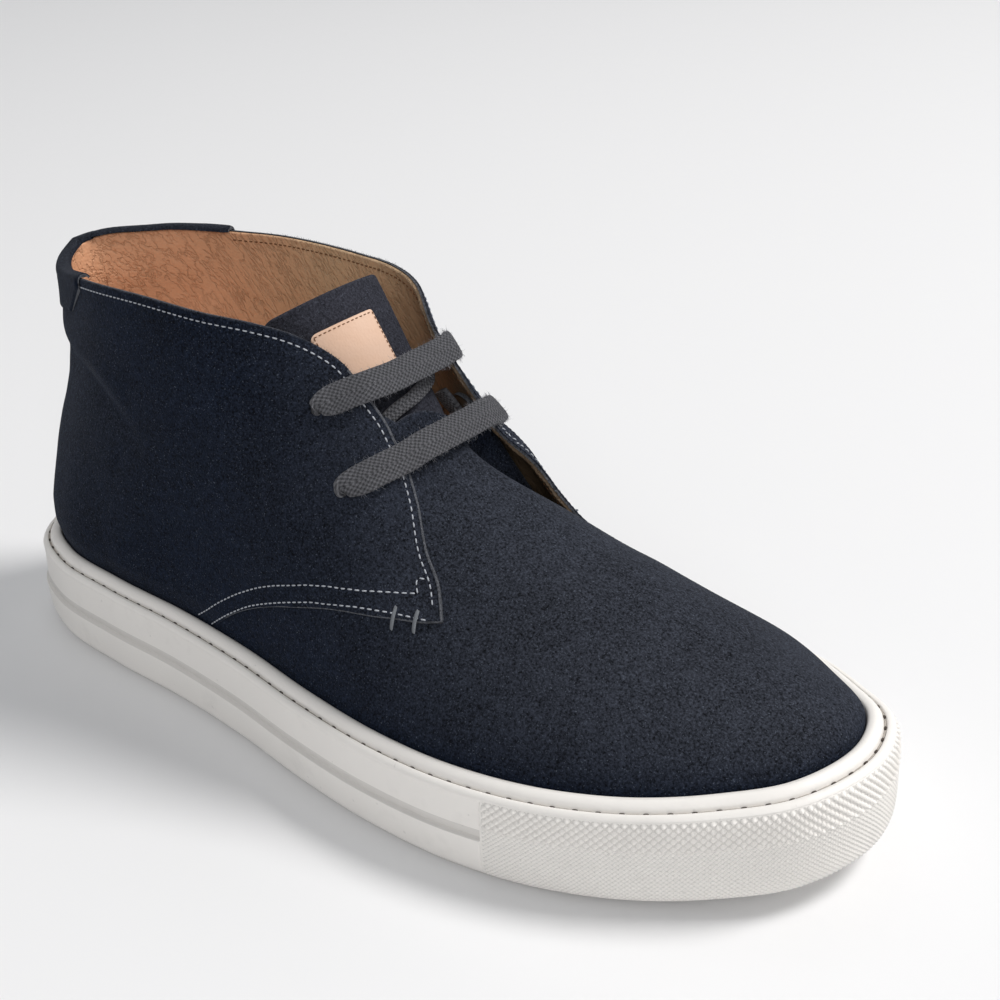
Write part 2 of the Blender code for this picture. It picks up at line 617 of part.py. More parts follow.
def eyelet_punches(collection):
    """Four round punches, one object."""
    count = EYELET_SIDES
    points, faces = [], []
    for side in (LATERAL, MEDIAL):
        for place in EYELETS:
            mouth, axis = on_quarter(side, *place)
            start = len(points)
            points += ring(mouth - axis * PUNCH_REACH, axis, EYELET_RADIUS, count)
            points += ring(mouth + axis * PUNCH_REACH, axis, EYELET_RADIUS, count)
            faces.append([start + k for k in range(count)])
            faces.append([start + count + k for k in range(count)])
            for k in range(count):
                after = (k + 1) % count
                faces.append([start + k, start + after, start + count + after, start + count + k])
    return new_object("eyelet_punches", points, faces, None, collection)


def make_upper(suede, cutters):
    upper = quarter_sheet().solid("upper", suede)
    vamp = vamp_sheet().solid("vamp_form", None, cutters)
    boolean(upper, vamp, "UNION")
    boolean(upper, eyelet_punches(cutters), "DIFFERENCE")
    return upper


# --- Sole and insole ----------------------------------------------------------------
def sole_stations():
    """Columns of the sole, with two close together where the toe band begins."""
    feet = [row[0] for row in SECTIONS]
    band = float(np.interp(BAND_START, feet, SECTION_KEYS))
    plain = spread(0.0, SOLE_COLUMNS)
    plain = plain[np.abs(plain - band) > 0.006]
    return np.sort(np.concatenate([plain, [band - 0.001, band + 0.001]])), band


def sole_point(side, u, inset, share, plus):
    foot = outline(place_round(side, u), inset)
    lift = height("lift", foot[..., 0])
    rim = height("rim", foot[..., 0])
    return np.concatenate([foot, (lift + share * (rim - lift) + plus)[..., None]], -1)


def hollow(x):
    """Depth of the tread's hollow at a station."""
    start, end, depth = WAIST
    edge = 6.0
    into = np.clip((x - start) / edge, 0.0, 1.0) * np.clip((end - x) / edge, 0.0, 1.0)
    return depth * into


def add_strips(points, faces, left, right, level, flip):
    """Faces across the shoe between two rings, with rows of points between them."""
    count = len(left)
    rows = [left]
    for step in range(1, ACROSS):
        share = step / ACROSS
        row = []
        for a, b in zip(left, right):
            if a == b:
                row.append(a)
                continue
            middle = points[a] + (points[b] - points[a]) * share
            middle[2] = level(middle[0])
            points.append(middle)
            row.append(len(points) - 1)
        rows.append(row)
    rows.append(right)
    for near, far in zip(rows, rows[1:]):
        for k in range(count - 1):
            corners = []
            for corner in (near[k], near[k + 1], far[k + 1], far[k]):
                if corner not in corners:
                    corners.append(corner)
            if len(corners) > 2:
                faces.append(corners[::-1] if flip else corners)


def ring_indices(points, rings):
    """Add rings of the two sides, sharing the heel and the toe, and give their indices."""
    result = []
    for lateral, medial in rings:
        left, right = [], []
        for k, (a, b) in enumerate(zip(lateral, medial)):
            points.append(a)
            left.append(len(points) - 1)
            if k in (0, len(lateral) - 1):
                right.append(left[-1])
            else:
                points.append(b)
                right.append(len(points) - 1)
        result.append((left, right))
    return result


def add_walls(faces, rings):
    for (left_a, right_a), (left_b, right_b) in zip(rings, rings[1:]):
        for near, far in ((left_a, left_b), (right_a, right_b)):
            for k in range(len(near) - 1):
                faces.append([near[k], near[k + 1], far[k + 1], far[k]])


def make_cupsole(rubber):
    u, band = sole_stations()
    on_band = u > band
    rings = []

    def tread(x):
        return float(height("lift", x) + hollow(x))

    def floor(x):
        return float(height("floor", x))

    inner_tread = []
    for side in (LATERAL, MEDIAL):
        points_round = sole_point(side, u, 8.0, 0.0, 0.0)
        points_round[:, 2] = [tread(x) for x in points_round[:, 0]]
        inner_tread.append(points_round)
    rings.append(tuple(inner_tread))
    for plain, banded, share, plus in WALL:
        inset = np.where(on_band, banded, plain)
        rings.append(tuple(sole_point(side, u, inset, share, plus) for side in (LATERAL, MEDIAL)))
    cup = []
    for side in (LATERAL, MEDIAL):
        points_round = sole_point(side, u, WALL[-1][0], 0.0, 0.0)
        points_round[:, 2] = [floor(x) for x in points_round[:, 0]]
        cup.append(points_round)
    rings.append(tuple(cup))
    points, faces = [], []
    indices = ring_indices(points, rings)
    add_walls(faces, indices)
    add_strips(points, faces, *indices[0], tread, True)
    add_strips(points, faces, *indices[-1], floor, False)
    return new_object("cupsole", points, faces, rubber)


def make_insole(leather):
    u = spread(0.0, INSOLE_COLUMNS)
    inset = SUEDE_INSET + VAMP_WALL + 2 * GAP
    edge_round = 1.0

    def base(x):
        return float(height("floor", x) + GAP)

    def top(x):
        return base(x) + INSOLE_THICKNESS

    rings = []
    for extra, level in ((0.0, base), (0.0, lambda x: top(x) - edge_round), (edge_round, top)):
        both = []
        for side in (LATERAL, MEDIAL):
            foot = outline(place_round(side, u), inset + extra)
            both.append(np.array([(x, y, level(x)) for x, y in foot]))
        rings.append(tuple(both))
    points, faces = [], []
    indices = ring_indices(points, rings)
    add_walls(faces, indices)
    add_strips(points, faces, *indices[0], base, True)
    add_strips(points, faces, *indices[-1], top, False)
    return new_object("insole", points, faces, leather)


# --- Tongue and its patch -----------------------------------------------------------
def tongue_point(along, across, depth):
    """Point of the tongue: along from its foot to its top, across from side to side in -1 to 1."""
    along, across, depth = np.broadcast_arrays(*(np.asarray(a, float) for a in (along, across, depth)))
    rows = np.array(TONGUE)
    keys = np.linspace(0.0, 1.0, len(rows))
    value = smooth(keys, rows, along)
    way = smooth(keys, rows[:, (0, 2)], along + 0.01) - smooth(keys, rows[:, (0, 2)], along - 0.01)
    way /= np.linalg.norm(way, axis=-1, keepdims=True)
    radius = value[..., 3] - depth
    reach = np.where(across < 0.0, value[..., 4], value[..., 5])
    angle = across * np.arcsin(np.clip(reach / value[..., 3], 0.0, 0.99))
    drop = value[..., 3] - radius * np.cos(angle)
    return np.stack([value[..., 0] - way[..., 1] * drop, value[..., 1] + radius * np.sin(angle),
                     value[..., 2] + way[..., 0] * drop], -1)


def tongue_sheet(from_along, to_along, from_across, to_across, rows, columns, outer, inner):
    sheet = Sheet()
    along = np.linspace(from_along, to_along, rows)
    across = np.linspace(from_across, to_across, columns)
    for i, a in enumerate(along):
        for j, b in enumerate(across):
            sheet.point((i, j), tongue_point(a, b, outer), tongue_point(a, b, inner))
    for i in range(rows - 1):
        for j in range(columns - 1):
            sheet.face((i, j), (i, j + 1), (i + 1, j + 1), (i + 1, j))
    return sheet


def make_tongue(suede):
    sheet = tongue_sheet(0.0, 1.0, -1.0, 1.0, 13, 11, 0.0, TONGUE_THICKNESS)
    return sheet.solid("tongue", suede)


def make_patch(leather):
    low, high, left, right = PATCH
    sheet = tongue_sheet(low, high, left, right, 6, 6, -GAP - PATCH_THICKNESS, -GAP)
    return sheet.solid("tongue_patch", leather)


# --- Heel tab -----------------------------------------------------------------------
def tab_point(side, u, top, rate, away, up):
    """Point beside or above the quarter's top edge."""
    drawn = pinch(side, u, top + np.minimum(up, 0.0) * rate)
    return skin(side, u, top + up * rate, away + flare(side, u, top) - drawn)


def make_heel_tab(suede):
    """A tab over the back of the heel, folded over the topline."""
    sheet = Sheet()
    for side in (LATERAL, MEDIAL):
        top_u, top_t = quarter_columns(side)[2:]
        for row, (outer, outer_up, inner, inner_up) in enumerate(TAB_SECTION):
            narrowing = max(0.0, -outer_up - TAB_STRAIGHT) / (TAB_DROP - TAB_STRAIGHT)
            u = top_u[:TAB_COLUMNS].copy()
            u[-1] = TAB_END + (TAB_FOOT_END - TAB_END) * narrowing
            u[-2] = min(u[-2], u[-1] - TAB_LAST_COLUMN)
            t = np.interp(u, top_u, top_t)
            rate = 0.01 / np.linalg.norm(last(side, u, t) - last(side, u, t - 0.01), axis=-1)
            outer_points = tab_point(side, u, t, rate, outer, outer_up)
            inner_points = tab_point(side, u, t, rate, inner, inner_up)
            for column in range(TAB_COLUMNS):
                key = ("heel" if column == 0 else side, column, row)
                sheet.point(key, outer_points[column], inner_points[column])
        for column in range(TAB_COLUMNS - 1):
            for row in range(len(TAB_SECTION) - 1):
                corners = [("heel" if c == 0 else side, c, r) for c, r in
                           ((column, row), (column + 1, row), (column + 1, row + 1), (column, row + 1))]
                sheet.face(*(corners if side == LATERAL else corners[::-1]))
    return sheet.solid("heel_tab", suede)


# --- Lace ---------------------------------------------------------------------------
def make_lace(cotton):
    """One flat lace: hidden end, lower bar, inner diagonal, upper bar, hidden end."""
    route = lace_route()
    centres = np.array([row[0] for row in route])
    normals = np.array([row[1] for row in route])
    flat = np.array([row[2] for row in route])
    keys = np.concatenate([[0.0], np.cumsum(np.linalg.norm(np.diff(centres, axis=0), axis=1))])
    at = np.linspace(0.0, keys[-1], LACE_STATIONS)
    centres, normals, flat = (smooth(keys, rows, at) for rows in (centres, normals, flat))
    flat = np.clip(flat, 0.0, 1.0)
    along = np.gradient(centres, axis=0)
    along /= np.linalg.norm(along, axis=1, keepdims=True)
    normals -= along * (normals * along).sum(1, keepdims=True)
    normals /= np.linalg.norm(normals, axis=1, keepdims=True)
    across = np.cross(normals, along)
    half_wide = (LACE_NECK + (LACE_WIDTH - LACE_NECK) * flat) / 2
    half_thick = (LACE_NECK + (LACE_THICKNESS - LACE_NECK) * flat) / 2
    points, faces = [], []
    for k in range(LACE_STATIONS):
        for a, b in LACE_SECTION:
            points.append(centres[k] + across[k] * half_wide[k] * a + normals[k] * half_thick[k] * b)
    count = len(LACE_SECTION)
    for k in range(LACE_STATIONS - 1):
        for m in range(count):
            after = (m + 1) % count
            faces.append([k * count + m, k * count + after, (k + 1) * count + after, (k + 1) * count + m])
    faces.append(list(range(count)))
    faces.append([(LACE_STATIONS - 1) * count + m for m in range(count)])
    return new_object("lace", points, faces, cotton)


def lace_route():
    """Stations of the lace: centre, the way its flat face looks, and how flat it lies."""
    rows = lace_stations(LACE_START) + through(MEDIAL, EYELETS[1], 1)
    rows += lace_stations(LOWER_BAR) + through(LATERAL, EYELETS[1], -1)
    rows += lace_stations(DIAGONAL) + through(MEDIAL, EYELETS[0], 1)
    rows += lace_stations(UPPER_BAR) + through(LATERAL, EYELETS[0], -1)
    return rows + lace_stations(LACE_FINISH)


def lace_stations(table):
    rows = []
    for row in table:
        if len(row) == 3:
            centre, look, flat = row
            rows.append((np.array(centre), np.array(look), flat))
        else:
            side, x, z, off = row
            point, normal = on_quarter(side, x, z)
            rows.append((point + normal * off, normal, 1.0))
    return rows


def through(side, place, way):
    """Stations through a hole, outward for way 1 and inward for -1."""
    mouth, axis = on_quarter(side, *place)
    look = np.array((1.0, 0.0, 0.4))
    steps = [(-4.6, 0.0), (-1.6, 0.0), (1.2, 0.1)]
    return [(mouth + axis * step, look, flat) for step, flat in steps[::way]]


# --- Assembly -----------------------------------------------------------------------
parts = bpy.data.collections.new("mid_top_sneaker")
cutters = bpy.data.collections.new("cutters")
for collection in (parts, cutters):
    bpy.context.scene.collection.children.link(collection)

make_cupsole(new_material("cupsole_rubber", (0.80, 0.79, 0.75), 0.5))
make_upper(new_material("upper_suede", (0.016, 0.021, 0.030), 0.9), cutters)
make_insole(new_material("insole_leather", (0.58, 0.38, 0.24), 0.6))
make_tongue(new_material("tongue_suede", (0.018, 0.021, 0.028), 0.9))
make_patch(new_material("patch_leather", (0.62, 0.40, 0.24), 0.6))
make_heel_tab(new_material("binding_suede", (0.016, 0.021, 0.030), 0.9))
make_lace(new_material("lace_cotton", (0.035, 0.038, 0.045), 0.95))
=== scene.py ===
"""Mid-top suede sneaker on a rubber cupsole: its dressed pieces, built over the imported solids.

The pieces are read from one last, in millimetres with stations measured from the heel:
toe along +X, the inner side of the foot along +Y, up along +Z.
"""
import math

import bmesh
import bpy
import numpy as np
from mathutils import Matrix, Vector


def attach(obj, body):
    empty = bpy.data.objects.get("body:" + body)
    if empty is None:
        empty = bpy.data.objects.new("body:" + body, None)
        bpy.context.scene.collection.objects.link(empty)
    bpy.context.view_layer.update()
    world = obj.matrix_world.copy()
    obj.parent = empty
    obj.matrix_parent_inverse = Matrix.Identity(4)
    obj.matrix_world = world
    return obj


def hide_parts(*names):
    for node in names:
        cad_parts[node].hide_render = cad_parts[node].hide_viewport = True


bl_info = {
    "name": "Mid-top sneaker",
    "version": (1, 0, 0),
    "blender": (4, 5, 0),
    "location": "View3D > Sidebar > Sneaker",
    "description": "Builds a suede mid-top sneaker, piece by piece, over its packed frame",
    "category": "Add Mesh",
}

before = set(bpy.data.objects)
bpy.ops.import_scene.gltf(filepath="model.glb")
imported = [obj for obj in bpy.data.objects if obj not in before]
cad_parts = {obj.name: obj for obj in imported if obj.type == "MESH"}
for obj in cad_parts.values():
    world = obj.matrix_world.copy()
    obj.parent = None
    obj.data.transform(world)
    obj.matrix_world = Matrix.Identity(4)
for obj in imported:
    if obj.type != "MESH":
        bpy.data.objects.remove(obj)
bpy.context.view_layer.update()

MM = 0.001
LATERAL, MEDIAL = -1, 1

# --- Driving sizes, in millimetres --------------------------------------------------
LENGTH = 300.0                  # of the sole
ORIGIN = (149.2, -1.8)          # middle of the sole's outline
GAP = 0.3                       # between pieces that meet
SUEDE_INSET = 7.7               # upper's foot, inside the sole's widest outline
VAMP_WALL = 1.6
QUARTER_STEP = 1.2              # the quarter stands this proud of the vamp
QUARTER_WALL = (1.0, 1.2)       # suede and lining together: at the rim, and the rest above it
RIM_SINK = 0.2                  # the quarter starts this far inside the last at the rim
LACE_WIDTH, LACE_THICKNESS = 8.4, 1.9
INSOLE_THICKNESS, INSOLE_ROUND = 5.0, 1.2
HEEL_DISH = (32.0, 24.0, 0.8, 14.0)     # the insole's hollow: station, spread, depth, margin at the sides

# Widest outline of the sole: half widths at stations from the heel
OUTLINE_TIPS = ((-0.8, -1.3), (299.2, 8.0))
OUTLINE = (
    # station, lateral, medial
    (3.0, -20.5, 18.0),
    (12.0, -32.5, 29.5),
    (30.0, -41.4, 37.6),
    (60.0, -45.4, 39.0),
    (92.0, -46.8, 36.2),
    (122.0, -50.0, 36.2),
    (152.0, -55.0, 41.2),
    (182.0, -58.0, 48.6),
    (212.0, -57.2, 54.4),
    (237.0, -52.2, 53.2),
    (258.0, -43.8, 50.0),
    (276.0, -32.6, 41.0),
    (291.0, -19.5, 30.0),
)
TOE_TAPER = (250.0, 300.0, 0.33)    # insets grow toward the toe: from, to, by

# Heights along the shoe: top of the rim, floor of the cup, lift of the tread
HEIGHTS = (
    # station, rim, floor, lift
    (0.0, 29.2, 13.0, 0.0),
    (60.0, 29.0, 12.5, 0.0),
    (130.0, 28.2, 11.0, 0.0),
    (205.0, 27.5, 9.5, 0.0),
    (240.0, 29.0, 10.2, 0.8),
    (270.0, 31.6, 12.4, 2.8),
    (300.0, 36.4, 15.5, 7.0),
)

# Sections of the last: station of the foot on the rim, head on each side, how far the foot and
# the head of the section run on before it turns, outward lean of its foot, rise of its head
SECTIONS = (
    # foot_x, lateral head, medial head, foot_run, head_run, lean_deg, rise_deg
    (6.5, (5.8, 3.0, 122.0), (5.8, 3.0, 122.0), 0.30, 0.30, 6.5, 99.0),
    (11.0, (13.0, -8.5, 122.0), (12.0, 15.0, 123.0), 0.30, 0.30, 5.0, 99.0),
    (26.0, (28.0, -17.5, 123.0), (28.0, 28.0, 126.0), 0.30, 0.30, 7.0, 96.0),
    (58.0, (55.0, -28.0, 128.0), (55.0, 36.0, 127.0), 0.32, 0.32, 6.0, 92.0),
    (90.0, (86.0, -32.5, 133.0), (86.0, 35.0, 129.0), 0.34, 0.34, 2.0, 90.0),
    (120.0, (113.0, -30.5, 136.0), (113.0, 31.0, 131.0), 0.36, 0.36, 0.0, 86.0),
    (143.0, (132.0, -19.0, 138.0), (132.0, 20.0, 135.0), 0.36, 0.33, -2.0, 74.0),
    (160.0, (143.0, 0.5, 134.0), (143.0, 0.5, 134.0), 0.36, 0.28, -4.0, 50.0),
    (174.0, (154.0, 1.5, 111.0), (154.0, 1.5, 111.0), 0.36, 0.26, -5.0, 28.0),
    (188.0, (168.0, 3.0, 89.0), (168.0, 3.0, 89.0), 0.38, 0.28, -5.0, 12.0),
    (206.0, (190.5, 4.5, 74.8), (190.5, 4.5, 74.8), 0.42, 0.34, -4.0, 6.5),
    (230.0, (220.0, 6.0, 63.4), (220.0, 6.0, 63.4), 0.48, 0.40, -3.0, 4.5),
    (255.0, (246.0, 7.0, 54.4), (246.0, 7.0, 54.4), 0.52, 0.44, -3.0, 4.0),
    (277.0, (264.0, 7.0, 48.8), (264.0, 7.0, 48.8), 0.54, 0.46, -4.0, 7.0),
    (292.9, (272.0, 6.5, 46.3), (272.0, 6.5, 46.3), 0.56, 0.48, -6.0, 17.0),
)
MEDIAL_FULLNESS = 0.8           # the inner side of the forefoot is flatter
FIRST_LEAN_SECTION = 9          # the first section that it applies to
# The quarters are drawn in above the heel: height, inward
PINCH = ((42.0, 0.2), (54.0, 1.4), (63.0, 1.9), (70.0, 2.5), (77.0, 3.4), (84.0, 3.8), (90.0, 2.9),
         (97.0, 1.3), (105.0, 1.1), (122.0, 1.1))
PINCH_FULL, PINCH_END = 0.14, 0.30      # u up to which it is whole, and where it ends

# Edges of the quarters in side view: station and height
TOPLINE = {
    LATERAL: ((22.0, 115.0), (48.0, 120.8), (72.0, 124.1), (98.0, 125.2), (114.0, 124.7),
              (125.0, 123.6), (135.0, 120.9), (144.0, 114.7)),
    MEDIAL: ((12.0, 118.6), (22.0, 118.8), (48.0, 119.4), (72.0, 121.0), (98.0, 122.2), (114.0, 123.0),
             (125.0, 122.9), (135.0, 120.6), (144.0, 114.7)),
}
# The facing runs down from the topline to the corner, and the lower edge meets it there
FACING = ((144.0, 114.7), (154.0, 104.8), (163.0, 92.7), (172.0, 79.6), (180.0, 69.4), (187.0, 63.1),
          (192.3, 56.6))
LOWER_EDGE = ((106.0, 28.6), (119.5, 38.7), (132.4, 45.5), (150.0, 51.7), (164.0, 54.9), (178.0, 55.7),
              (187.0, 55.8), (192.3, 56.6))
HEEL_TOP = 117.0                # height of the top edge at the back of the heel
# How far each facing stands off, by height
FLARE = ((54.0, 0.0), (60.0, 0.4), (65.0, 2.0), (70.0, 3.8), (76.0, 4.3), (81.0, 3.4), (86.0, 1.9),
         (94.0, 0.9), (104.0, 1.0), (112.0, 1.7), (122.0, 1.7))
FLARE_SHARE = {LATERAL: 0.0, MEDIAL: 1.0}       # the outer facing lies flat
FLARE_REACH = 15.0              # distance from the facing over which it fades
VAMP_DIP = (0.625, 0.68, 0.042, 0.22, 7.0)      # the vamp sinks under the inner facing: u, t, reaches, depth
# Where the vamp's inner face lies straight below its outer one: u and t, each from and over
VAMP_TIP = ((0.86, 0.06), (0.5, 0.3))
# The vamp's top edge, u and t, on the outer and the inner side
VAMP_TOP = ((0.29, 0.30), (0.45, 0.56), (0.575, 0.765), (0.6205, 1.0))
INNER_VAMP_TOP = ((0.29, 0.30), (0.45, 0.52), (0.575, 0.62), (0.608, 0.76), (0.6205, 1.0))
EYELETS = ((144.0, 103.0), (156.5, 84.0))       # holes in each facing in side view, upper and lower

# Tongue: its middle line, the radius that it wraps to, and its reach to each side
TONGUE = (
    # x, y, z, radius, lateral reach, medial reach
    (174.5, 0.5, 73.0, 30.0, 21.0, 7.5),
    (165.0, 0.5, 81.6, 28.0, 21.0, 8.0),
    (156.5, 0.5, 93.5, 26.0, 21.5, 11.4),
    (149.0, 0.5, 105.5, 25.5, 22.5, 10.9),
    (141.5, 0.0, 118.0, 27.0, 23.5, 11.5),
    (134.5, 0.0, 129.0, 29.0, 25.0, 11.5),
)
TONGUE_THICKNESS = 2.6
TONGUE_SCALE = 24.0                     # millimetres of flat material for one unit across
PATCH = (0.57, 0.86, -0.66, 0.07)       # on the tongue: from, to, outer edge, inner edge
PATCH_THICKNESS = 1.2
PATCH_SEAM = (0.014, 0.042)             # how far inside its edge its stitches lie, along and across
PATCH_STITCH = (1.45, 0.95, 0.15)       # pitch, length, radius

# Heel tab: it drops outside, is narrower at its foot, and folds over the topline to the inside.
# Its section runs from outside to inside, each row an outer and an inner place as distance off and height
TAB_END, TAB_FOOT_END = 0.195, 0.168    # u of its edge at the topline and at its foot
TAB_DROP, TAB_STRAIGHT = 10.5, 2.4      # how far it drops outside, and how far down it starts to narrow
TAB_LENGTH, TAB_COLUMNS = 45.0, 60      # of one side, laid flat along the topline
TAB_SECTION = (
    # outer away, outer up, inner away, inner up
    (2.3, -10.5, 1.5, -10.5),
    (2.4, -6.2, 1.5, -6.2),
    (2.5, -2.4, 1.5, -2.4),
    (2.4, 0.1, 1.5, -0.2),
    (1.6, 1.2, 1.3, 0.3),
    (0.1, 1.5, 0.1, 0.3),
    (-1.4, 1.2, -1.1, 0.3),
    (-2.4, 0.1, -1.4, -0.2),
)

# Lace, in the order of its run: each station's centre, the way its flat face looks, and how
# flat it lies; over a quarter a station is given in side view, with its distance off the suede
LACE_START = (
    ((149.5, 17.0, 94.0), (0.2, 0.9, 0.3), 0.4),
    ((153.5, 19.0, 88.0), (0.2, 0.9, 0.3), 0.3),
)
LOWER_BAR = (
    (MEDIAL, 160.8, 86.6, 1.7),
    (MEDIAL, 163.6, 88.5, 1.9),
    (MEDIAL, 165.4, 89.8, 2.1),
    ((169.6, 14.0, 93.4), (0.72, 0.25, 0.65), 1.0),
    ((170.2, 5.0, 93.8), (0.75, 0.0, 0.65), 1.0),
    ((169.8, -5.0, 93.5), (0.75, -0.15, 0.66), 1.0),
    ((168.9, -13.0, 92.8), (0.7, -0.35, 0.64), 1.0),
    (LATERAL, 165.2, 89.8, 2.0),
    (LATERAL, 163.0, 88.2, 1.7),
    (LATERAL, 160.4, 86.4, 1.7),
)
DIAGONAL = (
    ((155.0, -22.5, 86.5), (0.5, -0.7, 0.4), 0.5),
    ((155.6, -17.5, 91.4), (0.7, -0.5, 0.5), 0.8),
    ((155.0, -11.0, 96.6), (0.8, -0.25, 0.55), 1.0),
    ((155.4, 0.5, 100.0), (0.84, 0.05, 0.54), 1.0),
    ((152.8, 8.6, 101.2), (0.75, 0.4, 0.5), 0.9),
    ((147.6, 14.8, 101.8), (0.6, 0.75, 0.25), 0.4),
)
UPPER_BAR = (
    (MEDIAL, 147.6, 104.6, 1.7),
    (MEDIAL, 150.4, 106.0, 1.8),
    (MEDIAL, 152.8, 107.1, 2.0),
    ((156.6, 10.0, 109.4), (0.8, 0.15, 0.55), 1.0),
    ((156.6, 0.0, 109.2), (0.82, 0.0, 0.56), 1.0),
    ((156.2, -9.0, 108.8), (0.8, -0.2, 0.57), 1.0),
    (LATERAL, 152.8, 107.0, 1.9),
    (LATERAL, 150.2, 105.8, 1.7),
    (LATERAL, 147.4, 104.6, 1.7),
)
LACE_FINISH = (
    ((142.4, -22.6, 99.6), (0.5, -0.75, 0.4), 0.6),
)
HOLE_STEPS = ((-4.6, 0.0), (-1.6, 0.0), (1.2, 0.1))     # through a hole: distance off its mouth, how flat
LACE_NECK = 2.6                 # width and thickness where it is rolled in a hole

BAND_START = 219.5              # station of the toe band's rear ends
WAIST = (108.0, 152.0, 1.2)     # hollow of the tread under the arch: from, to, depth
SHARED_INSET = 4.4              # insets beyond this grow no further toward the toe
TOP_SPLIT = 117.0               # station where the top edge's columns pass from the rear to the front
RIM_BLEND = 0.07                # t over which the quarter reaches its full step above the rim


# --- Curves -------------------------------------------------------------------------
def unit(vectors):
    """Vectors of length 1."""
    return vectors / np.linalg.norm(vectors, axis=-1, keepdims=True)


def rising(value, start, over):
    """0 up to a start, then rising evenly to 1 over a distance."""
    return np.clip((value - start) / over, 0.0, 1.0)


def run_lengths(points):
    """Distance of each point along the line through them."""
    return np.concatenate([[0.0], np.cumsum(np.linalg.norm(np.diff(points, axis=0), axis=1))])


def slopes(face, side, u, t, step):
    """Differences of a face over twice the step in u and in t."""
    along = face(side, u + step, t) - face(side, u - step, t)
    upward = face(side, u, t + step) - face(side, u, t - step)
    return along, upward


def face_normal(face, side, u, t, step=2e-3):
    """Outward unit normal of a face given as a function of side, u and t."""
    return unit(np.cross(*slopes(face, side, u, t, step)) * -side)


def smooth(keys, rows, at):
    """Smooth curve through rows of values at rising keys."""
    keys, rows, at = (np.asarray(a, float) for a in (keys, rows, at))
    column = (-1,) + (1,) * (rows.ndim - 1)
    gaps = np.diff(keys).reshape(column)
    slope = np.diff(rows, axis=0) / gaps
    turn = np.empty_like(rows)
    turn[1:-1] = (slope[:-1] * gaps[1:] + slope[1:] * gaps[:-1]) / (gaps[1:] + gaps[:-1])
    turn[0] = 1.5 * slope[0] - 0.5 * turn[1]
    turn[-1] = 1.5 * slope[-1] - 0.5 * turn[-2]
    i = np.clip(np.searchsorted(keys, at, side="right") - 1, 0, len(keys) - 2)
    step = np.diff(keys)[i].reshape(at.shape + (1,) * (rows.ndim - 1))
    f = ((at - keys[i]).reshape(step.shape)) / step
    return ((2 * f**3 - 3 * f**2 + 1) * rows[i] + (f**3 - 2 * f**2 + f) * step * turn[i]
            + (3 * f**2 - 2 * f**3) * rows[i + 1] + (f**3 - f**2) * step * turn[i + 1])


def spaced(rows, count):
    """Points evenly spaced along a smooth line through the rows."""
    rows = np.asarray(rows, float)
    keys = run_lengths(rows)
    return smooth(keys, rows, np.linspace(0.0, keys[-1], count))


def height(name, x):
    """Rim, floor or lift at a station."""
    column = ("rim", "floor", "lift").index(name) + 1
    keys = [row[0] for row in HEIGHTS]
    return np.maximum(smooth(keys, [row[column] for row in HEIGHTS], np.clip(x, 0.0, LENGTH)), 0.0)


def outline_loop():
    """The outline's points from the heel by the lateral side, wrapped past both ends."""
    lateral = [(x, a) for x, a, _ in OUTLINE]
    medial = [(x, b) for x, _, b in reversed(OUTLINE)]
    loop = [OUTLINE_TIPS[0], *lateral, OUTLINE_TIPS[1], *medial]
    points = np.array(loop[-2:] + loop + loop[:3])
    keys = run_lengths(points)
    return keys - keys[2], points, keys[2 + len(loop)] - keys[2]


LOOP_KEYS, LOOP_POINTS, PERIMETER = outline_loop()
TOE_AT = LOOP_KEYS[2 + len(OUTLINE) + 1]


def outline(along, inset=0.0):
    """Point of the outline at a distance round it, moved inward by the inset."""
    point = smooth(LOOP_KEYS, LOOP_POINTS, along)
    way = unit(smooth(LOOP_KEYS, LOOP_POINTS, along + 0.5) - smooth(LOOP_KEYS, LOOP_POINTS, along - 0.5))
    inward = np.stack([-way[..., 1], way[..., 0]], -1)
    start, end, growth = TOE_TAPER
    into = rising(point[..., 0], start, end - start)
    inset = inset + np.minimum(inset, SHARED_INSET) * growth * into**2 * (3.0 - 2.0 * into)
    return point + inward * inset[..., None]


# --- The last -----------------------------------------------------------------------
def side_sections(side):
    """Each section's distance round the outline, its head and its shape, for one side."""
    along = np.linspace(0.0 if side == LATERAL else PERIMETER, TOE_AT, 500)
    stations = np.maximum.accumulate(outline(along, SUEDE_INSET)[:, 0])
    rows = []
    for number, (foot_x, lateral, medial, foot, head, lean, rise) in enumerate(SECTIONS):
        ends = {0: along[0], len(SECTIONS) - 1: along[-1]}
        place = ends.get(number, np.interp(foot_x, stations, along))
        if side == MEDIAL and number >= FIRST_LEAN_SECTION:
            foot *= MEDIAL_FULLNESS
            head *= MEDIAL_FULLNESS
        top = lateral if side == LATERAL else medial
        rows.append((place, *top, foot, head, math.radians(lean), math.radians(rise)))
    return np.array(rows)


SIDE_SECTIONS = {side: side_sections(side) for side in (LATERAL, MEDIAL)}
SECTION_KEYS = np.linspace(0.0, 1.0, len(SECTIONS))


def place_round(side, u):
    """Distance round the outline at a column."""
    return smooth(SECTION_KEYS, SIDE_SECTIONS[side][:, 0], u)


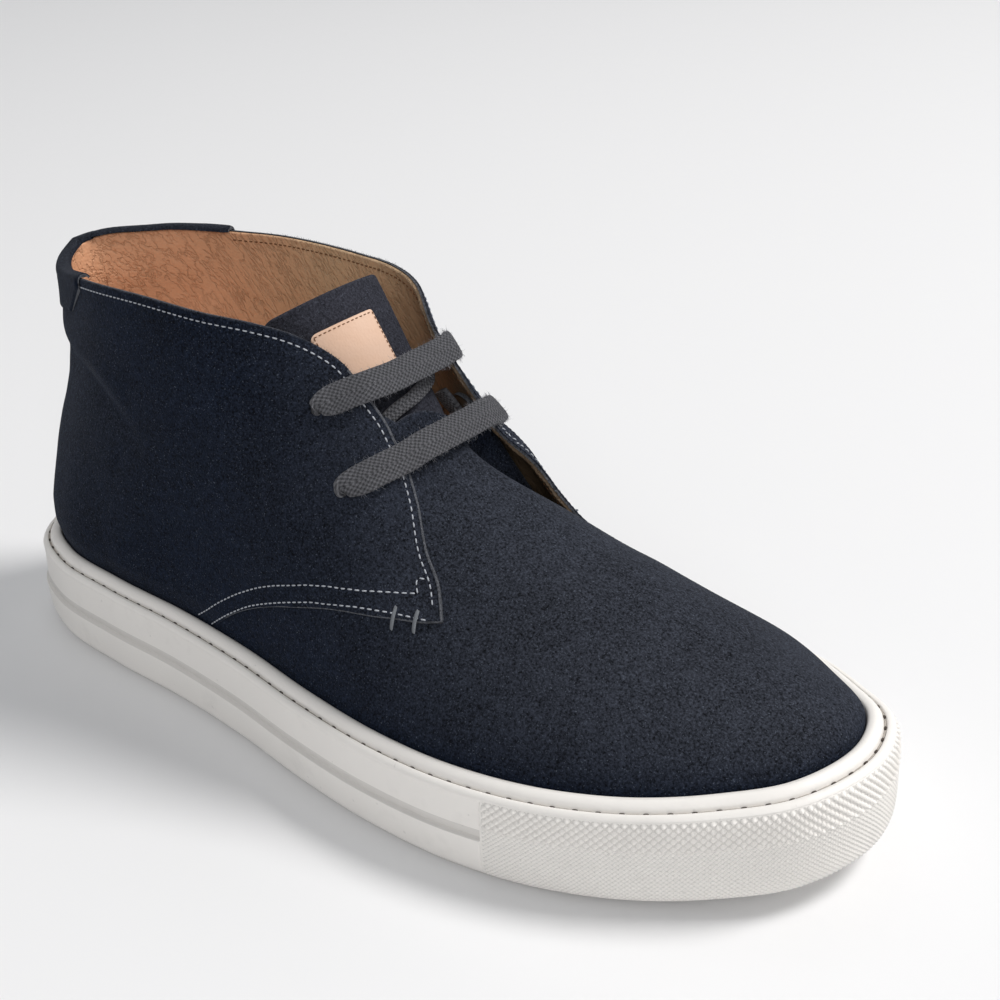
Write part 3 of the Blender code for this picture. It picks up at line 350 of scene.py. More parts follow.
def last(side, u, t):
    """Point of the last: u from heel to toe along one side, t from the rim to the head."""
    u, t = np.broadcast_arrays(np.asarray(u, float), np.asarray(t, float))
    value = smooth(SECTION_KEYS, SIDE_SECTIONS[side], np.clip(u, 0.0, 1.0))
    foot = outline(value[..., 0], SUEDE_INSET)
    inward = outline(value[..., 0], SUEDE_INSET + 1.0) - foot
    base = np.concatenate([foot, height("rim", foot[..., 0])[..., None]], -1)
    top = value[..., 1:4]
    foot_run, head_run, lean, rise = (value[..., k] for k in (4, 5, 6, 7))
    tall = top[..., 2] - base[..., 2]
    across = top[..., :2] - foot
    wide = np.linalg.norm(across, axis=-1)
    first = base.copy()
    first[..., :2] -= inward * (np.sin(lean) * foot_run * tall)[..., None]
    first[..., 2] += np.cos(lean) * foot_run * tall
    size = head_run * (np.cos(rise) * wide + np.sin(rise) * tall)
    second = top.copy()
    second[..., :2] -= across / wide[..., None] * (np.cos(rise) * size)[..., None]
    second[..., 2] -= np.sin(rise) * size
    t = t[..., None]
    m = 1.0 - t
    return m**3 * base + 3 * m**2 * t * first + 3 * m * t**2 * second + t**3 * top


def outward(side, u, t):
    """Unit normal of the last, away from the foot."""
    step = 1e-3
    along = last(side, u + step, t) - last(side, u - step, t)
    above = np.minimum(t + step, 1.0)
    upward = last(side, u, above) - last(side, u, above - 2 * step)
    return unit(np.cross(along, upward) * -side)


def skin(side, u, t, away):
    """Point at a distance off the last; at t = 0 and below it runs straight down the cup."""
    u, t, away = np.broadcast_arrays(*(np.asarray(a, float) for a in (u, t, away)))
    upper_t = np.maximum(t, 0.0)
    point = last(side, u, upper_t) + outward(side, u, upper_t) * away[..., None]
    place = smooth(SECTION_KEYS, SIDE_SECTIONS[side], np.clip(u, 0.0, 1.0))[..., 0]
    foot = outline(place, SUEDE_INSET - away)
    rim = height("rim", foot[..., 0])
    depth = rim - height("floor", foot[..., 0]) - GAP
    upright = np.concatenate([foot, (rim + np.minimum(t, 0.0) * depth)[..., None]], -1)
    return np.where((t <= 0.0)[..., None], upright, point)


def locate(side, points):
    """The last's own u and t of points given in side view."""
    points = np.atleast_2d(np.asarray(points, float))
    grid_u, grid_t = np.meshgrid(np.linspace(0.0, 1.0, 81), np.linspace(0.0, 0.98, 41), indexing="ij")
    grid = last(side, grid_u, grid_t)
    far = (grid[..., 0, None] - points[:, 0])**2 + (grid[..., 2, None] - points[:, 1])**2
    nearest = far.reshape(-1, len(points)).argmin(axis=0)
    u, t = grid_u.ravel()[nearest], grid_t.ravel()[nearest]
    step = 1e-4
    for _ in range(25):
        miss = points - last(side, u, t)[:, (0, 2)]
        by_u, by_t = ((slope / (2 * step))[:, (0, 2)] for slope in slopes(last, side, u, t, step))
        area = by_u[:, 0] * by_t[:, 1] - by_t[:, 0] * by_u[:, 1]
        area = np.where(np.abs(area) < 1e-3, 1e-3, area)
        move_u = (miss[:, 0] * by_t[:, 1] - by_t[:, 0] * miss[:, 1]) / area
        move_t = (by_u[:, 0] * miss[:, 1] - miss[:, 0] * by_u[:, 1]) / area
        u = np.clip(u + np.clip(move_u, -0.02, 0.02), 0.0, 1.0)
        t = np.clip(t + np.clip(move_t, -0.05, 0.05), 0.0, 1.0)
    return u, t


# --- The quarters -------------------------------------------------------------------
def flare(side, u, t):
    """How far the quarter stands off the vamp near its facing."""
    at = last(side, u, np.maximum(t, 0.0))[..., (0, 2)]
    edge = spaced(TOPLINE[side][-2:] + FACING[1:], 60)
    gap = np.linalg.norm(at[..., None, :] - edge, axis=-1)
    near = gap.argmin(axis=-1)
    keys = [row[0] for row in FLARE]
    lift = smooth(keys, [row[1] for row in FLARE], np.clip(edge[near][..., 1], keys[0], keys[-1]))
    return FLARE_SHARE[side] * lift * np.exp(-(gap.min(axis=-1) / FLARE_REACH)**2)


def pinch(side, u, t):
    """How far the quarter is drawn in around the heel."""
    keys = [row[0] for row in PINCH]
    at = np.clip(last(side, u, np.maximum(t, 0.0))[..., 2], keys[0], keys[-1])
    near = np.clip((PINCH_END - u) / (PINCH_END - PINCH_FULL), 0.0, 1.0)
    return smooth(keys, [row[1] for row in PINCH], at) * near**2 * (3.0 - 2.0 * near)


def quarter_rise(t):
    """Share of the quarter's full step reached at a height above the rim, and its face off the last."""
    rise = np.clip(np.asarray(t, float) / RIM_BLEND, 0.0, 1.0)
    return rise, -RIM_SINK + (QUARTER_STEP + RIM_SINK) * rise


def plain_quarter(side, u, t):
    """Point of the quarter's outer face before its creases."""
    rise, outer = quarter_rise(t)
    return skin(side, u, t, outer + (flare(side, u, t) - pinch(side, u, t)) * rise)


def quarter_columns(side, rear_count, lower_count):
    """Foot and top of the quarter's columns in the last's own coordinates, heel to corner."""
    lower_u, lower_t = locate(side, spaced(LOWER_EDGE, lower_count))
    lower_t[0] = 0.0
    foot_u = np.concatenate([np.linspace(0.0, lower_u[0], rear_count)[:-1], lower_u])
    foot_t = np.concatenate([np.zeros(rear_count - 1), lower_t])
    rear = [row for row in TOPLINE[side] if row[0] < TOP_SPLIT]
    rear_u, rear_t = locate(side, rear)
    keys = np.concatenate([[0.0], rear_u])
    heights = np.concatenate([[heel_top_t()], rear_t])
    top_u = np.linspace(0.0, rear_u[-1], rear_count)
    top_t = smooth(keys, heights, top_u)
    front = [rear[-1]] + [row for row in TOPLINE[side] if row[0] > TOP_SPLIT] + list(FACING[1:])
    front_u, front_t = locate(side, spaced(front, lower_count))
    top_u = np.concatenate([top_u, front_u[1:]])
    top_t = np.concatenate([top_t, front_t[1:]])
    return foot_u, foot_t, top_u, top_t


def heel_top_t():
    """Share of the heel's own section that reaches the top edge."""
    share = np.linspace(0.0, 1.0, 400)
    return float(np.interp(HEEL_TOP, last(LATERAL, np.zeros(400), share)[:, 2], share))


# --- Finer forms, in millimetres ----------------------------------------------------
SUEDE_SHARE = 0.52              # share of the quarter's wall that is suede; the rest is lining
EDGE_ROUND, LINING_ROUND = 0.45, 0.35   # radius of their cut edges
REAR_COLUMNS, FRONT_COLUMNS = 150, 150  # of each quarter's mesh, behind and along its lower edge
QUARTER_ROWS, LINING_ROWS = 110, 90
VAMP_GRID = (100, 170, 76)              # columns beside the throat and ahead of it, and rows
QUARTER_FOOT, VAMP_FOOT = -0.9, -0.95   # t of their lowest rows, down in the cup
HEEL_BEND = (20, 1.2)           # columns of each side that bend to meet, and how far the bend's ends lead
TAB_COVER = 60.0                # station up to which the top edge is plain, under the heel tab and just ahead
# The outer facing's edge swells a little: from a station, over, how far from the edge, width, height
FACING_SWELL = (148.0, 6.0, 0.55, 0.5, 0.22)
# Soft troughs (below zero) and ridges of the quarters: side, width, depth, line in side view
CREASES = (
    (LATERAL, 3.2, -1.4, ((12.0, 91.5), (28.0, 91.0), (48.0, 91.0), (66.0, 85.0), (80.0, 76.0))),
    (LATERAL, 7.0, 1.0, ((18.0, 80.0), (34.0, 80.0), (52.0, 77.0), (66.0, 70.0))),
    (LATERAL, 6.0, 0.8, ((16.0, 101.0), (34.0, 100.0), (54.0, 98.0), (72.0, 92.0))),
    (MEDIAL, 4.5, -0.8, ((16.0, 88.0), (34.0, 88.0), (52.0, 84.0), (68.0, 76.0))),
    (MEDIAL, 7.0, 0.6, ((20.0, 77.0), (38.0, 76.0), (56.0, 70.0))),
    (LATERAL, 9.0, -0.6, ((118.0, 108.0), (130.0, 92.0), (140.0, 78.0))),
)
# Soft troughs and ridges of the vamp, seen from above: width, depth, line
VAMP_CREASES = (
    (7.0, -0.5, ((204.0, -34.0), (210.0, -14.0), (211.0, 8.0), (206.0, 30.0))),
    (6.0, 0.35, ((214.0, -34.0), (221.0, -12.0), (221.0, 12.0), (215.0, 34.0))),
)

# Side of the sole from the tread up: inset from the widest outline, plain and behind the toe band, then
# height as a share of the way from tread to rim plus a length
SOLE_SIDE = (
    (8.0, 8.0, 0.0, 0.0), (6.0, 6.0, 0.0, 0.0), (4.2, 4.2, 0.0, 0.12), (2.9, 2.9, 0.0, 0.5),
    (1.9, 2.4, 0.0, 1.2), (1.2, 1.9, 0.0, 2.2), (0.8, 1.5, 0.0, 3.4), (0.5, 1.2, 0.0, 5.0),
    (0.25, 1.0, 0.28, 0.0), (0.1, 1.0, 0.37, 0.0), (0.0, 1.0, 0.44, 0.0), (0.12, 1.0, 0.452, 0.0),
    (0.75, 1.0, 0.462, 0.0), (1.15, 1.0, 0.474, 0.0), (0.85, 1.1, 0.49, 0.0), (0.95, 1.3, 0.62, 0.0),
    (1.1, 1.6, 1.0, -5.0), (1.1, 1.5, 1.0, -3.9), (0.95, 1.1, 1.0, -3.3), (1.0, 1.0, 1.0, -2.9),
    (1.25, 1.25, 1.0, -2.4), (1.7, 1.7, 1.0, -1.9), (2.2, 2.2, 1.0, -1.6), (2.65, 2.65, 1.0, -1.6),
    (2.85, 2.85, 1.0, -2.1), (3.05, 3.05, 1.0, -2.5), (3.25, 3.25, 1.0, -2.4), (3.4, 3.4, 1.0, -1.8),
    (3.55, 3.55, 1.0, -1.1), (3.9, 3.9, 1.0, -0.4), (4.4, 4.4, 1.0, 0.15), (5.0, 5.0, 1.0, 0.55),
    (5.6, 5.6, 1.0, 0.75), (6.2, 6.2, 1.0, 0.75), (6.8, 6.8, 1.0, 0.6), (7.2, 7.2, 1.0, 0.3),
    (7.4, 7.4, 1.0, -0.2), (7.45, 7.45, 1.0, -4.0), (7.45, 7.45, 1.0, -9.0),
)
CUP_INSET = 7.4                         # of the cup's floor
WALL_LINE = (0.445, 0.5)                # shares of the wall's height where its step is coloured a darker grey
# Toe band's face from the tread up, in the same way
BAND_SIDE = (
    # inset, share, plus
    (2.3, 0.0, 0.9), (1.2, 0.0, 2.0), (0.7, 0.0, 3.4), (0.45, 0.0, 5.0), (0.3, 0.30, 0.0),
    (0.3, 0.5, 0.0), (0.45, 0.65, 0.0), (0.75, 1.0, -5.0), (1.1, 1.0, -3.1), (1.6, 1.0, -2.7),
)
BAND_SPLIT = 0.0006                     # u on each side of the step where the wall gives way to the band
BAND_TALL, BAND_DEPTH = 22.0, 1.5       # height that its studs are spaced over, and how deep its edges go
KNURL = (2.4, 1.9, 0.75, 7.8)           # coarse: along, up, height, and how far down it goes
FINE_KNURL = (1.5, 1.2, 0.42)           # below it: along, up, height
BAND_PLAIN = (18.0, 1.2)                # studs rise to full height over 1/18 of the band, and 1.2 at its ends
KNURL_VALLEY = 0.22                     # share up a stud below which the rubber is painted grey, painted shade in the valleys

STITCH = (2.2, 1.45, 0.21)              # pitch, length, radius
EDGE_TO_STITCH = 2.4                    # from the top edge to its row of stitches
THROUGH_SOLE = (5.9, 1.35, 0.3)         # stitches in the groove: pitch, gap between them, radius
GROOVE = (3.1, -2.25)                   # inset of the groove's stitches, and their height from the rim
LINING_SEAM = 47.0                      # station where the lining's seam starts, ahead of the tab
TOP_ROW_START = {LATERAL: 10.0, MEDIAL: 30.0}   # station where the top edge's row starts
TOP_ROW_END = 58.0                      # height where it ends on the facing
KNOT = (0.6, 1.5, 2.2)                  # where the knot's turns start, at the heel end of the topline row
KNOT_TURN, TACK_THREAD = (30.0, 2.0, 0.42), (30.0, 6.4, 0.3)       # pitch, length, radius
LINING_INSET = 2.6                      # from the top edge to the lining's seam
LINING_SHORT = {LATERAL: 0.7, MEDIAL: 0.25}     # the lining's edge lies this far below the suede's
# Outer quarter's stitches, the last's u and t: lower row, second row, and the small step where that ends
LOWER_ROW = ((0.320, 0.006), (0.340, 0.061), (0.360, 0.106), (0.380, 0.142), (0.410, 0.179), (0.440, 0.206),
             (0.470, 0.223), (0.500, 0.237), (0.530, 0.262), (0.560, 0.294), (0.590, 0.324), (0.620, 0.357),
             (0.645, 0.385), (0.668, 0.411))
SECOND_ROW = ((0.306, 0.014), (0.320, 0.053), (0.340, 0.107), (0.367, 0.164), (0.400, 0.213), (0.430, 0.241),
              (0.460, 0.258), (0.490, 0.270), (0.520, 0.290), (0.550, 0.321), (0.580, 0.356), (0.610, 0.395),
              (0.630, 0.424), (0.648, 0.453))
ROW_STEP = ((0.648, 0.454), (0.644, 0.472), (0.645, 0.489), (0.652, 0.500), (0.654, 0.514))
ROW_SMOOTH = 6                          # points on each side over which a row's direction is averaged
INNER_ROWS = (1.8, 7.0)                 # the inner quarter's two rows above its lower edge
RAW_WIDTH = (0.9, 0.35)                 # frayed band beside the facing's edge, and beside the lower edge
EDGE_HAIRS, LACE_HAIRS = 420, 1300      # loose fibres on each quarter's edge, and on the lace
EDGE_FIBRE, LACE_FIBRE = (0.3, 0.9, 0.035), (0.4, 1.9, 0.035)      # shortest, longest, radius
DIAGONAL_FLAT = 0.03                    # the hidden diagonal is rolled narrow
LACE_STEP = 0.35                        # between the rings of the lace's mesh
LACE_RIB = 0.11                         # height of the braid's ribs
LACE_YARN = 4.4                         # radians of the braid's rib for each millimetre
# Bar tacks: the last's u and t from top to bottom
TACKS = (
    ((0.6231, 0.380), (0.6216, 0.348), (0.6217, 0.316)),
    ((0.6532, 0.417), (0.6520, 0.385), (0.6531, 0.353)),
)


# --- Helpers ------------------------------------------------------------------------
class Shell:
    """Grids of points and their flat places, gathered into one mesh."""

    def __init__(self):
        self.points, self.flat, self.faces, self.kinds = [], [], [], []
        self.count = 0

    def grid(self, points, flat=None, flip=False, kind=0):
        """Add a grid of points: rows by columns by 3."""
        points = np.asarray(points, float)
        rows, columns = points.shape[:2]
        index = np.arange(rows * columns).reshape(rows, columns) + self.count
        corners = [index[:-1, :-1], index[1:, :-1], index[1:, 1:], index[:-1, 1:]]
        quads = np.stack(corners[::-1] if flip else corners, -1).reshape(-1, 4)
        if flat is None:
            flat = np.stack(np.meshgrid(np.arange(columns), np.arange(rows)), -1) / max(rows, columns)
        self.points.append(points.reshape(-1, 3))
        self.flat.append(np.asarray(flat, float).reshape(-1, 2))
        self.faces.append(quads)
        self.kinds.append(np.full(len(quads), kind))
        self.count += rows * columns

    def build(self, name, materials, weld=0.02, sharp=None):
        """The mesh object, in metres, welded and shaded smooth."""
        shift = np.array([ORIGIN[0], ORIGIN[1], 0.0])
        points = (np.concatenate(self.points) - shift) * MM
        faces = np.concatenate(self.faces)
        mesh = bpy.data.meshes.new(name)
        mesh.from_pydata(points.tolist(), [], faces.tolist())
        mesh.polygons.foreach_set("material_index", np.concatenate(self.kinds).astype(np.int32))
        layer = mesh.uv_layers.new(name="flat")
        corner = np.empty(len(mesh.loops), np.int32)
        mesh.loops.foreach_get("vertex_index", corner)
        layer.data.foreach_set("uv", np.concatenate(self.flat)[corner].ravel())
        for material in materials:
            mesh.materials.append(material)
        if weld:
            shape = bmesh.new()
            shape.from_mesh(mesh)
            bmesh.ops.remove_doubles(shape, verts=shape.verts, dist=weld * MM)
            bmesh.ops.dissolve_degenerate(shape, edges=shape.edges, dist=1e-7)
            shape.to_mesh(mesh)
            shape.free()
        mesh.shade_smooth()
        if sharp is not None:
            mesh.set_sharp_from_angle(angle=sharp)
        piece = bpy.data.objects.new(name, mesh)
        bpy.context.scene.collection.objects.link(piece)
        return piece


def dress(piece, slot, *nodes):
    """Let a piece ride on the shoe and stand for its solids; the slot is not used."""
    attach(piece, "root")
    if nodes:
        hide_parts(*nodes)
    return piece


def clustered(count):
    """Shares from 0 to 1 that crowd toward both ends."""
    return 0.5 - 0.5 * np.cos(np.linspace(0.0, math.pi, count))


def polyline_effect(x, y, width, depth, line):
    """Soft trough or ridge along a line, fading at its ends."""
    line = spaced(line, 40)
    place = np.stack([x, y], -1)
    far = np.full(x.shape, 1e9)
    along = np.zeros(x.shape)
    for k in range(len(line) - 1):
        step = line[k + 1] - line[k]
        share = np.clip(((place - line[k]) @ step) / (step @ step), 0.0, 1.0)
        gap = np.linalg.norm(place - line[k] - share[..., None] * step, axis=-1)
        nearer = gap < far
        far = np.where(nearer, gap, far)
        along = np.where(nearer, (k + share) / (len(line) - 1), along)
    return depth * np.exp(-(far / width)**2) * np.clip(np.sin(math.pi * along), 0.0, 1.0)**0.6


def suede_face(side, u, t, depth=0.0):
    """Point of the quarter at a share of its wall's depth: 0 outside, 1 inside."""
    u, t = np.broadcast_arrays(np.asarray(u, float), np.asarray(t, float))
    rise, outer = quarter_rise(t)
    wall = QUARTER_WALL[0] + QUARTER_WALL[1] * rise
    at = last(side, u, np.maximum(t, 0.0))
    folds = np.zeros(u.shape)
    for row_side, width, amount, line in CREASES:
        if row_side == side:
            folds += polyline_effect(at[..., 0], at[..., 2], width, amount, line)
    off = outer - depth * wall + (flare(side, u, t) - pinch(side, u, t) + folds) * rise
    return skin(side, u, t, off)


def rounded(gap, radius):
    """How far a face has fallen at a distance from its cut edge."""
    near = np.clip(1.0 - gap / radius, 0.0, 1.0)
    return radius * (1.0 - np.sqrt(1.0 - near**2))


def threads(shell, points, normals, pitch, length, radius, sides=6, kind=0, lift=0.4, start=0.0, bow=1.0):
    """A row of stitches along a line that lies on a face."""
    keys = run_lengths(points)
    count = max(1, int((keys[-1] - start - length) / pitch) + 1)
    begins = start + np.arange(count) * pitch
    profile = np.array([(0.0, -0.9, 0.35), (0.08, -0.2, 0.8), (0.3, 0.3, 1.0), (0.5, 0.45, 1.0),
                        (0.7, 0.3, 1.0), (0.92, -0.2, 0.8), (1.0, -0.9, 0.35)])
    at = begins[:, None] + profile[None, :, 0] * length
    centre = np.stack([np.interp(at, keys, points[:, k]) for k in range(3)], -1)
    up = unit(np.stack([np.interp(at, keys, normals[:, k]) for k in range(3)], -1))
    across = np.cross(up, unit(np.gradient(centre, axis=1)))
    centre = centre + up * (profile[:, 1] * radius * bow + lift * radius)[None, :, None]
    turn = np.linspace(0.0, 2.0 * math.pi, sides + 1)
    ring = (np.cos(turn)[None, None, :, None] * across[:, :, None] +
            np.sin(turn)[None, None, :, None] * up[:, :, None] * 0.8)
    tubes = centre[:, :, None] + ring * (radius * profile[:, 2])[None, :, None, None]
    for tube in tubes:
        shell.grid(tube, kind=kind)


def hairs(shell, roots, ways, shortest, longest, radius, draw, kind=0):
    """Loose fibres that stand out from a face, each a thin bent tube."""
    lengths = draw.uniform(shortest, longest, (len(roots), 1))
    first = ways + draw.normal(0.0, 0.45, ways.shape)
    second = first + draw.normal(0.0, 0.7, ways.shape)
    first, second = unit(first), unit(second)
    middle = roots + first * lengths * 0.5
    line = np.stack([roots - first * 0.1, middle, middle + second * lengths * 0.5], 1)
    across = unit(np.cross(first, second + np.array([0.01, 0.02, 0.03])))
    beside = np.cross(across, first)
    turn = np.linspace(0.0, 2.0 * math.pi, 4)
    ring = np.cos(turn)[None, :, None] * across[:, None] + np.sin(turn)[None, :, None] * beside[:, None]
    taper = np.array([1.0, 0.8, 0.25]) * radius
    for path, round_it in zip(line, ring):
        shell.grid(path[:, None] + round_it[None] * taper[:, None, None], kind=kind)


# --- Shader groups ------------------------------------------------------------------
def node(tree, kind, inputs=None, **settings):
    """A shader node with its settings, its input values and its links."""
    made = tree.nodes.new(kind)
    for name, value in settings.items():
        setattr(made, name, value)
    for name, value in (inputs or {}).items():
        socket = made.inputs[name]
        if isinstance(value, bpy.types.NodeSocket):
            tree.links.new(value, socket)
        else:
            socket.default_value = value
    return made


def math_node(tree, operation, first, second=0.0, clamp=False):
    values = {0: first, 1: second}
    return node(tree, "ShaderNodeMath", values, operation=operation, use_clamp=clamp).outputs[0]


def plus(tree, first, second, clamp=False):
    return math_node(tree, "ADD", first, second, clamp)


def minus(tree, first, second, clamp=False):
    return math_node(tree, "SUBTRACT", first, second, clamp)


def times(tree, first, second, clamp=False):
    return math_node(tree, "MULTIPLY", first, second, clamp)


def mix_colour(tree, factor, first, second, blend="MIX"):
    return node(tree, "ShaderNodeMix", {0: factor, 6: first, 7: second}, data_type="RGBA",
                blend_type=blend).outputs[2]


def ramp(tree, value, low, high):
    """A value stretched so that low gives 0 and high gives 1."""
    return node(tree, "ShaderNodeMapRange", {"Value": value, "From Min": low, "From Max": high}).outputs[0]


def noise(tree, place, scale, detail=2.0, rough=0.5):
    return node(tree, "ShaderNodeTexNoise", {"Vector": place, "Scale": scale, "Detail": detail,
                                             "Roughness": rough}).outputs["Fac"]


def new_group(name, inputs, outputs):
    """An empty shader group, the values that come into it and the sockets that leave it."""
    tree = bpy.data.node_groups.new(name, "ShaderNodeTree")
    for way, sockets in (("INPUT", inputs), ("OUTPUT", outputs)):
        for label, kind in sockets.items():
            tree.interface.new_socket(label, in_out=way, socket_type=kind)
    return tree, tree.nodes.new("NodeGroupInput").outputs, tree.nodes.new("NodeGroupOutput").inputs


COLOUR, FLOAT, VECTOR = "NodeSocketColor", "NodeSocketFloat", "NodeSocketVector"


def suede_group():
    """Nap: patches brushed two ways, fine fibres, a few pale flecks, and painted light that makes faces that
    look up paler.
    """
    tree, start, end = new_group(
        "suede_nap",
        {"Place": VECTOR, "Side": COLOUR, "Top": COLOUR, "Fleck": COLOUR, "Fleck amount": FLOAT,
         "Contrast": FLOAT},
        {"Colour": COLOUR, "Height": FLOAT, "Roughness": FLOAT})
    place = start["Place"]
    patches = noise(tree, place, 38.0, 4.0, 0.6)
    brushed = noise(tree, place, 420.0, 3.0, 0.7)
    fibres = noise(tree, place, 1500.0, 3.0, 0.75)
    looks = node(tree, "ShaderNodeSeparateXYZ", {0: node(tree, "ShaderNodeNewGeometry").outputs["Normal"]})
    # Painted light: faces that look up are painted toward the top colour, as if lit from above.
    upward = ramp(tree, looks.outputs["Z"], 0.05, 0.95)
    painted_top_light = math_node(tree, "POWER", upward, 0.9, True)
    colour = mix_colour(tree, painted_top_light, start["Side"], start["Top"])
    tone = plus(tree, times(tree, minus(tree, patches, 0.5), 0.55),
                     times(tree, minus(tree, brushed, 0.5), 0.7))
    tone = plus(tree, tone, times(tree, minus(tree, fibres, 0.5), 3.2))
    tone = plus(tree, times(tree, tone, start["Contrast"]), 1.0)
    tone = math_node(tree, "MAXIMUM", tone, 0.15)
    grey = node(tree, "ShaderNodeCombineXYZ", {0: tone, 1: tone, 2: tone}).outputs[0]
    colour = mix_colour(tree, 1.0, colour, grey, "MULTIPLY")
    specks = ramp(tree, noise(tree, place, 2300.0, 1.0, 0.6), 0.66, 0.76)
    specks = times(tree, specks, start["Fleck amount"], True)
    colour = mix_colour(tree, specks, colour, start["Fleck"])
    height = plus(tree, times(tree, fibres, 0.9), times(tree, brushed, 0.6))
    tree.links.new(colour, end["Colour"])
    tree.links.new(height, end["Height"])
    tree.links.new(ramp(tree, patches, -2.0, 1.0), end["Roughness"])
    return tree


def grain_group():
    """Leather: small pebbles, soft creases with painted shade in their troughs, blotches, and painted shade
    toward the front.
    """
    tree, start, end = new_group(
        "leather_grain",
        {"Place": VECTOR, "Colour": COLOUR, "Shade": COLOUR, "Heel colour": COLOUR, "Pebble": FLOAT,
         "Wrinkles": FLOAT},
        {"Colour": COLOUR, "Height": FLOAT})
    place = start["Place"]
    pebbles = node(tree, "ShaderNodeTexVoronoi", {"Vector": place, "Scale": start["Pebble"]},
                   feature="SMOOTH_F1").outputs["Distance"]
    slanted = node(tree, "ShaderNodeMapping", {"Vector": place, "Rotation": (0.0, 0.85, 0.0),
                                               "Scale": (3.0, 1.0, 0.8)}, vector_type="TEXTURE").outputs[0]
    bend = noise(tree, slanted, 300.0, 3.0, 0.6)
    wrinkle = math_node(tree, "ABSOLUTE", minus(tree, bend, 0.5))
    wrinkle = times(tree, ramp(tree, wrinkle, 0.0, 0.05), start["Wrinkles"])
    across = node(tree, "ShaderNodeSeparateXYZ", {0: place}).outputs["X"]
    toward_heel = ramp(tree, across, -0.06, -0.115)
    # Painted shade: ahead of the middle station the leather is painted darker, because the inside of the
    # front lies in shade.
    painted_front_shade = minus(tree, 1.0, times(tree, ramp(tree, across, -0.035, 0.0), 0.9))
    blotches = ramp(tree, noise(tree, place, 55.0, 3.0, 0.6), 0.35, 0.75)
    shade = times(tree, blotches, 0.6)
    shade = plus(tree, shade, times(tree, noise(tree, place, 1300.0), 0.25), True)
    # Painted shade: the troughs of the creases are painted darker. The blotches are the leather's own random
    # tone.
    shade = times(tree, shade, minus(tree, 1.3, wrinkle), True)
    base = mix_colour(tree, toward_heel, start["Colour"], start["Heel colour"])
    colour = mix_colour(tree, shade, base, mix_colour(tree, 1.0, base, start["Shade"], "MULTIPLY"))
    # The painted shade toward the front is mixed in by the same amount that sets the creases.
    colour = mix_colour(tree, start["Wrinkles"], colour, mix_colour(tree, 1.0, colour, painted_front_shade, "MULTIPLY"))
    height = plus(tree, times(tree, pebbles, 0.5), wrinkle)
    tree.links.new(colour, end["Colour"])
    tree.links.new(height, end["Height"])
    return tree


def weave_group():
    """Flat braid: slanted yarns that meet in a chevron along the middle, with painted shade in the gaps
    between them.
    """
    tree, start, end = new_group(
        "braid",
        {"Flat": VECTOR, "Colour": COLOUR, "Gap": COLOUR, "Yarns": FLOAT},
        {"Colour": COLOUR, "Height": FLOAT})
    split = node(tree, "ShaderNodeSeparateXYZ", {0: start["Flat"]})
    across = math_node(tree, "ABSOLUTE", split.outputs["X"])
    drift = times(tree, noise(tree, start["Flat"], 0.9, 3.0, 0.6), 1.5)
    lean = plus(tree, times(tree, across, 0.9), drift)
    run = times(tree, plus(tree, split.outputs["Y"], lean), start["Yarns"])
    first = math_node(tree, "SINE", run)
    back = times(tree, minus(tree, split.outputs["Y"], times(tree, across, 1.3)), start["Yarns"])
    second = math_node(tree, "SINE", back)
    height = times(tree, plus(tree, first, second), 0.25)
    fuzz = noise(tree, start["Flat"], 4.0, 4.0, 0.75)
    height = plus(tree, plus(tree, times(tree, height, 0.6), 0.3),
                       times(tree, fuzz, 0.9))
    # Painted shade: the low places between the yarns take the dark gap colour.
    tone = ramp(tree, height, 0.42, 1.2)
    tree.links.new(mix_colour(tree, tone, start["Gap"], start["Colour"]), end["Colour"])
    tree.links.new(height, end["Height"])
    return tree


def wear_group():
    """Scuffs and dust: soft grey smears and small dark marks."""
    tree, start, end = new_group(
        "handling_marks",
        {"Place": VECTOR, "Colour": COLOUR, "Dirt": COLOUR, "Amount": FLOAT},
        {"Colour": COLOUR, "Height": FLOAT, "Roughness": FLOAT})
    place = start["Place"]
    smear = ramp(tree, noise(tree, place, 60.0, 4.0, 0.65), 0.55, 0.8)
    dots = ramp(tree, noise(tree, place, 420.0, 1.0, 0.5), 0.76, 0.8)
    tone = ramp(tree, noise(tree, place, 22.0, 2.0, 0.5), 0.2, 0.9)
    mask = plus(tree, times(tree, smear, 0.6), times(tree, dots, 0.8))
    mask = plus(tree, mask, times(tree, tone, 0.2))
    mask = times(tree, mask, start["Amount"], True)
    tree.links.new(mix_colour(tree, mask, start["Colour"], start["Dirt"]), end["Colour"])
    fine = noise(tree, place, 700.0, 2.0, 0.5)
    tree.links.new(fine, end["Height"])
    tree.links.new(plus(tree, times(tree, smear, 0.12), 0.42), end["Roughness"])
    return tree


def shared_group(name):
    makers = {"suede_nap": suede_group, "leather_grain": grain_group, "braid": weave_group,
              "handling_marks": wear_group}
    return bpy.data.node_groups.get(name) or makers[name]()


